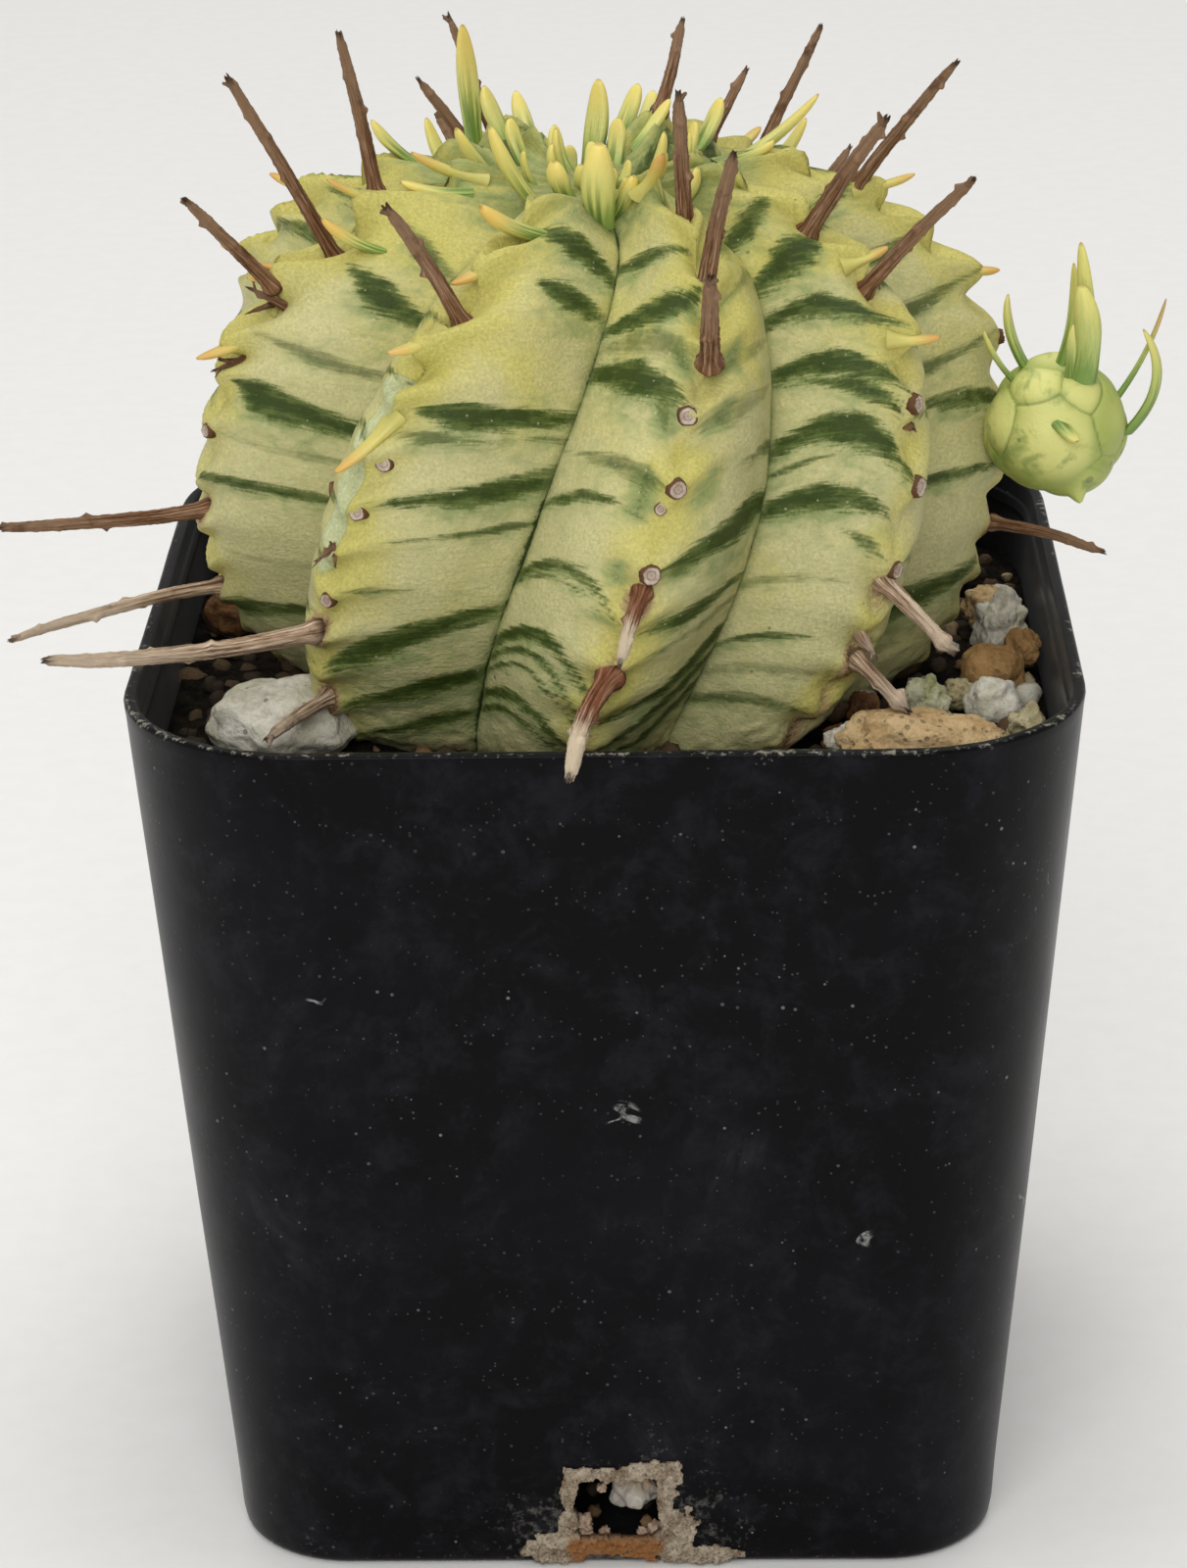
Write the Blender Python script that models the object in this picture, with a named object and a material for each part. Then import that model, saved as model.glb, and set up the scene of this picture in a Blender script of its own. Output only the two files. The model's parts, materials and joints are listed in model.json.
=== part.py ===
"""A ribbed, variegated euphorbia in a three-inch square nursery pot, in metres, +Z up.

The origin is the centre of the pot's underside. +X is to the right and the front faces -Y.
The plant is a ribbed barrel with a tap root in the potting mix, dry flower stalks (peduncles)
along its ridges, fleshy leaves round its growing point, a young offset on one side, and loose
pumice and gravel on the mix. Heights marked "above the rim" are measured from the pot's rim.
"""

import math

import bmesh
import bpy
import numpy as np
from mathutils import Matrix, Vector, noise
from mathutils.bvhtree import BVHTree

MM = 0.001
GAP = 0.3 * MM  # between pieces that rest on each other

# The pot: a tapered square with rounded corners and one drain hole at the foot of each side.
POT_HEIGHT = 74.0 * MM
TOP_HALF, TOP_CORNER = 37.5 * MM, 14.8 * MM
BASE_HALF, BASE_CORNER = 31.2 * MM, 9.3 * MM
WALL, FLOOR = 1.0 * MM, 1.4 * MM
FOOT_EDGE = 0.4 * MM
HOLE_WIDTH, HOLE_BOTTOM, HOLE_TOP = 7.4 * MM, 2.0 * MM, 8.8 * MM

# The potting mix.
HEADSPACE = 7.5 * MM  # from the rim down to the mix
MIX_FOOT = FLOOR + GAP

# The plant's outline in mm as (height along it, radius, height above the rim): the crest of a
# rib and the furrow between two ribs.
CREST = [(0, 15, -14), (0.12, 24, -8), (0.25, 29.7, -1.2), (0.38, 32, 6), (0.5, 33, 13.6),
         (0.62, 31.7, 21.7), (0.74, 28.4, 27.7), (0.85, 21.2, 32.7), (0.94, 11.7, 35.8), (1, 0, 33.5)]
FURROW = [(0, 13, -14), (0.12, 19.3, -8.6), (0.25, 22.3, -2), (0.38, 24, 4.5), (0.5, 24.5, 11),
          (0.62, 23.3, 18), (0.74, 20, 24.5), (0.85, 16, 29.7), (0.94, 9, 32), (1, 0, 33.5)]
# Each rib's azimuth in degrees from the front at mid height, its twist and its bend up the plant.
RIBS = {
    "left": (-69, 40, -75), "front_left": (-35.5, 41, 10), "front": (8.7, 37.4, 18.4),
    "front_right": (48, 35, -12), "right": (90, 15, 0), "back_right": (140, 38, 0),
    "back": (193, 38, 0), "back_left": (241, 38, 0),
}
FURROW_LEAN = (2, 10)  # degrees off half way between two crests, at mid height and per height
CREST_SHARPNESS = 0.35  # smaller is sharper
PLANT_X, PLANT_Y = -0.9 * MM, 0.9 * MM
ROOT = [(9, -19), (5.5, -26), (3, -35)]  # radius and height above the rim, mm
ROOT_TIP = -42

# The offset, a small globe held to the plant's right-hand rib.
OFFSET_CENTRE = (36.2, -3.3, 14.4)  # mm, height above the rim
OFFSET_RADIUS, OFFSET_HALF_HEIGHT, OFFSET_RIBS = 5.9, 5.9, 5

# Peduncles: the rib each one stands on, the height along it, and its tip in mm (X, Y, height
# above the rim), with its radius at the base.
PEDUNCLES = {
    "peduncle_left_1": ("left", 0.83, (-28.2, -13, 46), 0.65),
    "peduncle_left_2": ("left", 0.88, (-20, -8, 48.2), 0.65),
    "peduncle_left_3": ("left", 0.77, (-31.6, -16, 37.2), 0.65),
    "peduncle_left_4": ("left", 0.45, (-48, -13, 10), 0.7),
    "peduncle_left_5": ("left", 0.31, (-48, -10, -0.5), 0.6),
    "peduncle_front_left_1": ("front_left", 0.79, (-15.5, -26, 39.2), 0.75),
    "peduncle_front_left_2": ("front_left", 0.36, (-42.7, -28, 4.6), 0.9),
    "peduncle_front_left_3": ("front_left", 0.23, (-26.2, -25.2, -3.4), 0.7),
    "peduncle_front_1": ("front", 0.9, (6.2, -17, 45.3), 0.8),
    "peduncle_front_2": ("front", 0.82, (10.2, -27, 43.2), 0.85),
    "peduncle_front_3": ("front", 0.73, (8.5, -34, 35.8), 0.95),
    "peduncle_front_4": ("front", 0.45, (1.5, -38, 7.4), 0.75),
    "peduncle_front_5": ("front", 0.34, (-2.4, -41, -0.6), 1.0),
    "peduncle_front_right_1": ("front_right", 0.86, (22, -13, 42.3), 0.85),
    "peduncle_front_right_2": ("front_right", 0.78, (28.4, -18, 38.7), 0.7),
    "peduncle_front_right_3": ("front_right", 0.41, (26.9, -26, 3.8), 0.85),
    "peduncle_front_right_4": ("front_right", 0.31, (23.4, -26.5, -1), 0.75),
    "peduncle_right_1": ("right", 0.85, (28, -1, 43.7), 0.6),
    "peduncle_right_2": ("right", 0.37, (40.4, -2, 3.4), 0.55),
    "peduncle_back_right_1": ("back_right", 0.77, (18.1, 27, 40.4), 0.55),
    "peduncle_back_right_2": ("back_right", 0.85, (11.8, 23, 37.7), 0.5),
    "peduncle_back_right_3": ("back_right", 0.93, (6.6, 20, 42.6), 0.6),
    "peduncle_back_1": ("back", 0.8, (-15.8, 24, 37), 0.6),
    "peduncle_back_2": ("back", 0.88, (-13, 21, 43), 0.4),
}

# A peduncle's girth as (share of its length, share of its radius).
PEDUNCLE_TAPER = [(0, 1), (0.12, 0.8), (0.45, 0.65), (0.8, 0.6), (0.95, 0.4)]

# Crown leaves: where each one stands on the plant (X, Y in mm), its tip, and its width.
LEAVES = {
    "leaf_back_left_1": ((-10.6, 12), (-11.5, 13.5, 44), 1.7),
    "leaf_front_left_1": ((-4.2, -4), (-8.6, -6, 40.4), 1.8),
    "leaf_left_1": ((-8.7, 1.3), (-11.5, -0.7, 38.9), 1.5),
    "leaf_back_1": ((-1.2, 10.5), (-0.4, 12, 39.7), 1.9),
    "leaf_front_1": ((0.1, -8.5), (0, -10.2, 40), 2.5),
    "leaf_back_right_1": ((3.1, 10.3), (5.4, 12.3, 37.9), 1.2),
    "leaf_back_right_2": ((7.6, 12.6), (9.6, 14.6, 37.4), 1.4),
    "leaf_centre_1": ((2.8, -2.6), (5, -2.6, 38.9), 1.4),
    "leaf_right_1": ((9.2, 6.9), (17.4, 6.9, 39.5), 1.5),
    "leaf_front_right_1": ((15.8, -5.6), (20.7, -6.6, 38.8), 1.2),
    "leaf_left_2": ((-17, -11), (-21.5, -12.5, 34.8), 1.4),
    "leaf_left_3": ((-15.4, 5), (-18.6, 5, 38.2), 1.3),
    "leaf_front_left_2": ((-5, -15.1), (-9, -17.5, 37), 1.9),
}

# The offset's own leaves: base and tip in mm (X, Y, height above the rim), and width.
OFFSET_LEAVES = {
    "offset_leaf_1": ((33.2, -4, 20.1), (30.2, -4.6, 23), 0.9),
    "offset_leaf_2": ((34, -2.4, 20.8), (32.3, -2, 25.2), 1.0),
    "offset_leaf_3": ((36.3, -3.8, 21), (37.4, -3, 28), 1.0),
    "offset_leaf_4": ((38.6, -4.6, 20.4), (37.7, -5.6, 30.4), 1.5),
    "offset_leaf_5": ((41, -3.6, 19), (44.8, -3, 25), 0.8),
}

# Stones on the mix: centre (X, Y), size (X, Y, Z) in mm, turn in degrees and colour.
WHITE, TAN, BROWN, CREAM = (0.62, 0.6, 0.54), (0.5, 0.36, 0.22), (0.2, 0.1, 0.05), (0.55, 0.48, 0.3)
STONES = {
    "pumice_front_left": ((-28.2, -15.8), (9.6, 8.6, 6.6), 20, WHITE),
    "pebble_left": ((-32, 10.5), (5, 6, 4), 10, TAN),
    "pumice_back_left": ((-26, 24.5), (9, 7, 6), 40, WHITE),
    "pebble_back": ((12, 30), (6, 5, 4.5), 0, CREAM),
    "stone_back_right": ((28.5, 20), (6, 8, 5), -15, BROWN),
    "pumice_right": ((32.4, 3), (5, 5, 6), 0, WHITE),
    "pebble_tan_right": ((31.1, -6.5), (5.4, 4.6, 4.2), 15, TAN),
    "pebble_pale_right": ((25.4, -12.3), (4.6, 4, 4), -20, CREAM),
    "pebble_oval_right": ((30.8, -13.3), (5, 3.8, 4), 10, WHITE),
    "chip_white_right": ((29.2, -18), (2.6, 2.4, 2.4), 0, WHITE),
    "pumice_holed_right": ((33, -19.2), (4, 4.4, 4.2), 0, CREAM),
    "stone_tan_front_right": ((24.3, -25.3), (13, 7.4, 4.8), -4, TAN),
    "chip_brown_right": ((20.6, -13.4), (3.2, 2.8, 3), 0, BROWN),
}


def rim(height_mm):
    """A height above the rim in mm, as a height above the floor in metres."""
    return POT_HEIGHT + height_mm * MM


def add_object(name, bm, colour, roughness, helper=False):
    mesh = bpy.data.meshes.new(name)
    bmesh.ops.recalc_face_normals(bm, faces=bm.faces)
    bm.to_mesh(mesh)
    bm.free()
    mesh.shade_smooth()
    mesh.set_sharp_from_angle(angle=math.radians(40))
    obj = bpy.data.objects.new(name, mesh)
    bpy.context.scene.collection.objects.link(obj)
    if helper:
        obj.hide_render = True
        obj.display_type = "WIRE"
        return obj
    material = bpy.data.materials.new(name)
    material.use_nodes = True
    shader = material.node_tree.nodes["Principled BSDF"]
    shader.inputs["Base Color"].default_value = (*colour, 1)
    shader.inputs["Roughness"].default_value = roughness
    mesh.materials.append(material)
    return obj


def cut(obj, cutter):
    modifier = obj.modifiers.new("cut", "BOOLEAN")
    modifier.object = cutter
    modifier.solver = "EXACT"


def bridge(bm, rings, close_start=True, close_end=True):
    """Joins rings of vertices into a skin, closing an end on one vertex or with a cap."""
    for lower, upper in zip(rings, rings[1:]):
        count = max(len(lower), len(upper))
        for i in range(count):
            j = (i + 1) % count
            low, high = [lower[k % len(lower)] for k in (i, j)], [upper[k % len(upper)] for k in (j, i)]
            bm.faces.new(list(dict.fromkeys(low + high)))
    if close_start and len(rings[0]) > 1:
        bm.faces.new(rings[0][::-1])
    if close_end and len(rings[-1]) > 1:
        bm.faces.new(rings[-1])


# ---- pot and mix ----


def rounded_square(bm, half, corner, z, steps=6):
    ring = []
    for quarter in range(4):
        middle = math.radians(90 * quarter + 45)
        cx, cy = (math.copysign(half - corner, f(middle)) for f in (math.cos, math.sin))
        for i in range(steps + 1):
            angle = math.radians(90 * (quarter + i / steps))
            ring.append(bm.verts.new((cx + corner * math.cos(angle), cy + corner * math.sin(angle), z)))
    return ring


def pot_outline(bm, z, inset):
    """The pot's outer outline at height z, moved inwards."""
    share = z / POT_HEIGHT
    half = BASE_HALF + (TOP_HALF - BASE_HALF) * share - inset
    corner = BASE_CORNER + (TOP_CORNER - BASE_CORNER) * share - inset
    return rounded_square(bm, half, corner, z)


def add_pot():
    bm = bmesh.new()
    foot = rounded_square(bm, BASE_HALF - FOOT_EDGE, BASE_CORNER - FOOT_EDGE, 0)
    rings = [foot, pot_outline(bm, FOOT_EDGE, 0), pot_outline(bm, POT_HEIGHT, 0)]
    rings += [pot_outline(bm, POT_HEIGHT, WALL), pot_outline(bm, FLOOR, WALL)]
    bridge(bm, rings)
    pot = add_object("pot", bm, (0.012, 0.012, 0.015), 0.35)
    for axis in range(2):
        bm = bmesh.new()
        size = [HOLE_WIDTH, HOLE_WIDTH, HOLE_TOP - HOLE_BOTTOM]
        size[axis] = 3 * BASE_HALF
        bmesh.ops.create_cube(bm, size=1)
        bmesh.ops.scale(bm, vec=size, verts=bm.verts)
        bmesh.ops.translate(bm, vec=(0, 0, (HOLE_BOTTOM + HOLE_TOP) / 2), verts=bm.verts)
        cut(pot, add_object("drain_cutter_" + "xy"[axis], bm, None, None, helper=True))


def add_mix(plant_cutter):
    bm = bmesh.new()
    inset = WALL + GAP
    bridge(bm, [pot_outline(bm, MIX_FOOT, inset), pot_outline(bm, POT_HEIGHT - HEADSPACE, inset)])
    mix = add_object("potting_mix", bm, (0.03, 0.022, 0.016), 0.95)
    cut(mix, plant_cutter)


# ---- the ribbed plant ----


def through(stations, column, along):
    """A smooth curve through an outline's points, read at a height along the plant."""
    x = np.array([row[0] for row in stations], float)
    y = np.array([row[column] for row in stations], float)
    slope = np.gradient(y, x)
    i = int(np.clip(np.searchsorted(x, along) - 1, 0, len(x) - 2))
    step = x[i + 1] - x[i]
    s = (along - x[i]) / step
    return ((2 * s**3 - 3 * s**2 + 1) * y[i] + (s**3 - 2 * s**2 + s) * step * slope[i]
            + (3 * s**2 - 2 * s**3) * y[i + 1] + (s**3 - s**2) * step * slope[i + 1])


def crest_azimuth(rib, along):
    middle, twist, bend = RIBS[rib]
    up = along - 0.5
    return middle + twist * up + bend * up * up


def furrow_azimuth(index, along):
    """The furrow between rib number index and the next one round."""
    names = list(RIBS)
    first = crest_azimuth(names[index % len(names)], along)
    second = crest_azimuth(names[(index + 1) % len(names)], along)
    second += 360 * round((first - second) / 360)
    if second < first:
        second += 360
    return (first + second) / 2 + FURROW_LEAN[0] + FURROW_LEAN[1] * (along - 0.5)


def plant_point(index, across, along, grow=0.0):
    """A point of rib number index: across runs from -1 to 1, furrow to furrow, along from 0 to 1."""
    crest = crest_azimuth(list(RIBS)[index], along)
    side = furrow_azimuth(index if across > 0 else index - 1, along)
    side += 360 * round((crest - side) / 360)
    azimuth = math.radians(crest + (side - crest) * abs(across))
    e = CREST_SHARPNESS
    share = 1 - (math.hypot(across, e) - e) / (math.hypot(1, e) - e)
    radius = through(FURROW, 1, along) * (1 - share) + through(CREST, 1, along) * share
    height = through(FURROW, 2, along) * (1 - share) + through(CREST, 2, along) * share
    radius = radius * MM + grow
    lift = grow * (2 * along - 0.6)
    return (PLANT_X + radius * math.sin(azimuth), PLANT_Y - radius * math.cos(azimuth), rim(height) + lift)


def plant_mesh(grow=0.0, rows=20, across_steps=6):
    bm = bmesh.new()
    rings = [[bm.verts.new((PLANT_X, PLANT_Y, rim(ROOT_TIP) - grow))]]
    places = [(index, 2 * i / across_steps - 1) for index in range(len(RIBS)) for i in range(across_steps)]
    for radius, height in reversed(ROOT):
        ring = []
        for index, across in places:
            x, y, _ = plant_point(index, across, 0)
            away = Vector((x - PLANT_X, y - PLANT_Y, 0)).normalized() * (radius * MM + grow)
            ring.append(bm.verts.new((PLANT_X + away.x, PLANT_Y + away.y, rim(height))))
        rings.append(ring)
    for row in range(rows):
        along = 0.985 * row / (rows - 1)
        rings.append([bm.verts.new(plant_point(index, across, along, grow)) for index, across in places])
    rings.append([bm.verts.new(plant_point(0, 0, 1, grow))])
    bridge(bm, rings)
    return bm


# ---- stalks and leaves ----


def tapered(name, base, tip, sag, widths, colour, sides=7, flat=1.0):
    """A closed tapered stem: widths lists (share of the length, radius in mm); it ends in a point."""
    bm = bmesh.new()
    line = Vector(tip) - Vector(base)
    aside = line.cross(Vector((0, 0, 1)))
    if aside.length < 1e-6:
        aside = Vector((1, 0, 0))
    aside.normalize()
    over = aside.cross(line).normalized()
    rings = []
    for share, radius in widths:
        centre = Vector(base) + line * share + over * sag * 4 * share * (1 - share)
        ring = []
        for i in range(sides):
            angle = 2 * math.pi * i / sides
            out = aside * math.cos(angle) + over * math.sin(angle) * flat
            ring.append(bm.verts.new(centre + radius * MM * out))
        rings.append(ring)
    rings.append([bm.verts.new(tip)])
    bridge(bm, rings)
    return add_object(name, bm, colour, 0.7)


def clear_start(skin, base, direction, radius):
    """The first point from base along direction whose end disc keeps the gap to the skin."""
    point = Vector(base)
    aside = direction.orthogonal().normalized()
    other = direction.cross(aside)
    for _ in range(60):
        disc = [point + radius * (aside * math.cos(a) + other * math.sin(a)) for a in np.arange(0, 6.28, 0.4)]
        outside = True
        for corner in disc:
            nearest, normal, _, distance = skin.find_nearest(corner)
            outside &= (corner - nearest).dot(normal) > 0 and distance > 1.15 * GAP
        if outside:
            return point
        point = point + direction * 0.1 * MM
    raise ValueError("no clear start")


def add_peduncles(skin):
    for name, (rib, along, (x, y, z), radius) in PEDUNCLES.items():
        base = Vector(plant_point(list(RIBS).index(rib), 0, along))
        tip = Vector((x * MM, y * MM, rim(z)))
        direction = (tip - base).normalized()
        start = clear_start(skin, base, direction, radius * MM)
        widths = [(share, girth * radius) for share, girth in PEDUNCLE_TAPER]
        tapered(name, start, tip, 0.3 * MM, widths, (0.2, 0.1, 0.07))


def add_leaves(skin):
    for name, ((bx, by), (x, y, z), width) in LEAVES.items():
        above = Vector((bx * MM, by * MM, rim(60)))
        base = skin.ray_cast(above, Vector((0, 0, -1)))[0]
        tip = Vector((x * MM, y * MM, rim(z)))
        direction = (tip - base).normalized()
        half = width / 2
        start = clear_start(skin, base, direction, half * 0.7 * MM)
        widths = [(0, 0.7 * half), (0.25, half), (0.6, 0.95 * half), (0.88, 0.6 * half), (0.97, 0.25 * half)]
        tapered(name, start, tip, -0.3 * MM, widths, (0.62, 0.56, 0.14), sides=8, flat=0.7)


def add_offset(plant_cutter):
    bm = bmesh.new()
    cx, cy, cz = OFFSET_CENTRE
    rings = [[bm.verts.new((cx * MM, cy * MM, rim(cz - OFFSET_HALF_HEIGHT)))]]
    for row in range(1, 11):
        polar = math.pi * row / 11
        ring = []
        for i in range(OFFSET_RIBS * 6):
            azimuth = 2 * math.pi * i / (OFFSET_RIBS * 6)
            fold = 0.9 + 0.1 * math.cos(OFFSET_RIBS * azimuth)
            radius = OFFSET_RADIUS * math.sin(polar) ** 0.8 * fold
            x, y = cx + radius * math.cos(azimuth), cy + radius * math.sin(azimuth)
            ring.append(bm.verts.new((x * MM, y * MM, rim(cz - OFFSET_HALF_HEIGHT * math.cos(polar)))))
        rings.append(ring)
    rings.append([bm.verts.new((cx * MM, cy * MM, rim(cz + OFFSET_HALF_HEIGHT * 0.96)))])
    bridge(bm, rings)
    offset = add_object("offset_body", bm, (0.42, 0.5, 0.2), 0.55)
    cut(offset, plant_cutter)
    return offset


def add_offset_leaves(skin):
    for name, (base, (x, y, z), width) in OFFSET_LEAVES.items():
        bx, by, bz = base
        base = Vector((bx * MM, by * MM, rim(bz - 2)))
        tip = Vector((x * MM, y * MM, rim(z)))
        direction = (tip - base).normalized()
        half = width / 2
        start = clear_start(skin, base, direction, half * MM)
        widths = [(0, half), (0.35, 1.1 * half), (0.7, 0.7 * half), (0.95, 0.3 * half)]
        tapered(name, start, tip, 0, widths, (0.45, 0.55, 0.2), flat=0.75)


# ---- stones ----


def add_stones():
    for number, (name, ((x, y), size, turn, colour)) in enumerate(STONES.items()):
        bm = bmesh.new()
        bmesh.ops.create_icosphere(bm, subdivisions=3 if max(size) > 8 else 2, radius=0.5)
        for vertex in bm.verts:
            lump = noise.noise(vertex.co * 3 + Vector((7.3 * number, 0, 0)))
            vertex.co *= 1 + 0.16 * lump
        bmesh.ops.scale(bm, vec=[side * MM for side in size], verts=bm.verts)
        bmesh.ops.rotate(bm, matrix=Matrix.Rotation(math.radians(turn), 3, "Z"), verts=bm.verts)
        low = min(vertex.co.z for vertex in bm.verts)
        floor = POT_HEIGHT - HEADSPACE + GAP
        bmesh.ops.translate(bm, vec=(x * MM, y * MM, floor - low), verts=bm.verts)
        add_object(name, bm, colour, 0.9)


def main():
    for obj in list(bpy.data.objects):
        bpy.data.objects.remove(obj)
    body_mesh = plant_mesh()
    add_pot()
    plant_cutter = add_object("plant_cutter", plant_mesh(grow=1.2 * GAP), None, None, helper=True)
    bmesh.ops.recalc_face_normals(body_mesh, faces=body_mesh.faces)
    skin = BVHTree.FromBMesh(body_mesh)
    add_object("plant_body", body_mesh, (0.5, 0.52, 0.24), 0.55)
    add_mix(plant_cutter)
    add_peduncles(skin)
    add_leaves(skin)
    offset = add_offset(plant_cutter)
    whole = bmesh.new()
    whole.from_mesh(offset.data)
    add_offset_leaves(BVHTree.FromBMesh(whole))
    whole.free()
    add_stones()


main()
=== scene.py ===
import json
import math

import bmesh
import bpy
import numpy as np
from mathutils import Matrix, Vector, noise
from mathutils.bvhtree import BVHTree

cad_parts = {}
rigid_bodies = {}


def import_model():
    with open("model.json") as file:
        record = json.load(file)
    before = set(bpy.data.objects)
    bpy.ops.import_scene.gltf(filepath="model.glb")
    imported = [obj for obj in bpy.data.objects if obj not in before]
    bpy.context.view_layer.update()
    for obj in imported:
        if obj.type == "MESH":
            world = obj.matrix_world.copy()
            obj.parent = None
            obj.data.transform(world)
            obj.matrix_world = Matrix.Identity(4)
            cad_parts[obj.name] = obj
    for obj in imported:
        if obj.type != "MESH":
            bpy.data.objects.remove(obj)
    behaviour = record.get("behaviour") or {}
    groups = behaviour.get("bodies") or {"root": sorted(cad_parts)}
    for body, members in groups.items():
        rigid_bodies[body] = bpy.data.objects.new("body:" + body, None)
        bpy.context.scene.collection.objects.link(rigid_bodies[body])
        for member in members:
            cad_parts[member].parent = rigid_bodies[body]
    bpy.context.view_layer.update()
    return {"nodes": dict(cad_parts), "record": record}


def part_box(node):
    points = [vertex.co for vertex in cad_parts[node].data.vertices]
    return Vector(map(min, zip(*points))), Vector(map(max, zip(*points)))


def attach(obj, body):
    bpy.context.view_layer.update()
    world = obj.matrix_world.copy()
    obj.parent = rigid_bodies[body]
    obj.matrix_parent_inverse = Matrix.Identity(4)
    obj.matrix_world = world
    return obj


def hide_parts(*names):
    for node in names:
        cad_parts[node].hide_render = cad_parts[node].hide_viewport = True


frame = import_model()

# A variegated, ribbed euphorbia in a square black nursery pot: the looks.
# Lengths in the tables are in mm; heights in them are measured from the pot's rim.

MM = 0.001
POT_HALF, _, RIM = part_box("pot")[1]
MIX_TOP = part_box("potting_mix")[1][2]

# ---- the plant's outline, as the CAD part has it ----

CREST = [(0, 15, -14), (0.12, 24, -8), (0.25, 29.7, -1.2), (0.38, 32, 6), (0.5, 33, 13.6),
         (0.62, 31.7, 21.7), (0.74, 28.4, 27.7), (0.85, 21.2, 32.7), (0.94, 11.7, 35.8), (1, 0, 33.5)]
FURROW = [(0, 13, -14), (0.12, 19.3, -8.6), (0.25, 22.3, -2), (0.38, 24, 4.5), (0.5, 24.5, 11),
          (0.62, 23.3, 18), (0.74, 20, 24.5), (0.85, 16, 29.7), (0.94, 9, 32), (1, 0, 33.5)]
# azimuth from the front at mid height, twist, bend, in degrees
RIBS = {
    "left": (-69, 40, -75), "front_left": (-35.5, 41, 10), "front": (8.7, 37.4, 18.4),
    "front_right": (47, 35, -12), "right": (90, 15, 0), "back_right": (140, 38, 0),
    "back": (193, 38, 0), "back_left": (241, 38, 0),
}
RIB_NAMES = list(RIBS)
FURROW_LEAN = (2, 10)
CREST_SHARPNESS = 0.35
PLANT_X, PLANT_Y = -0.9, 0.9
ROOT = [(3, -35), (5.5, -26), (9, -19)]
ROOT_TIP = -42
PLANT_LENGTH = 78  # mm along a crest, from bottom to top
TUBERCLE_STEP = 0.068  # between two bumps of a crest, as a share of its length

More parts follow.
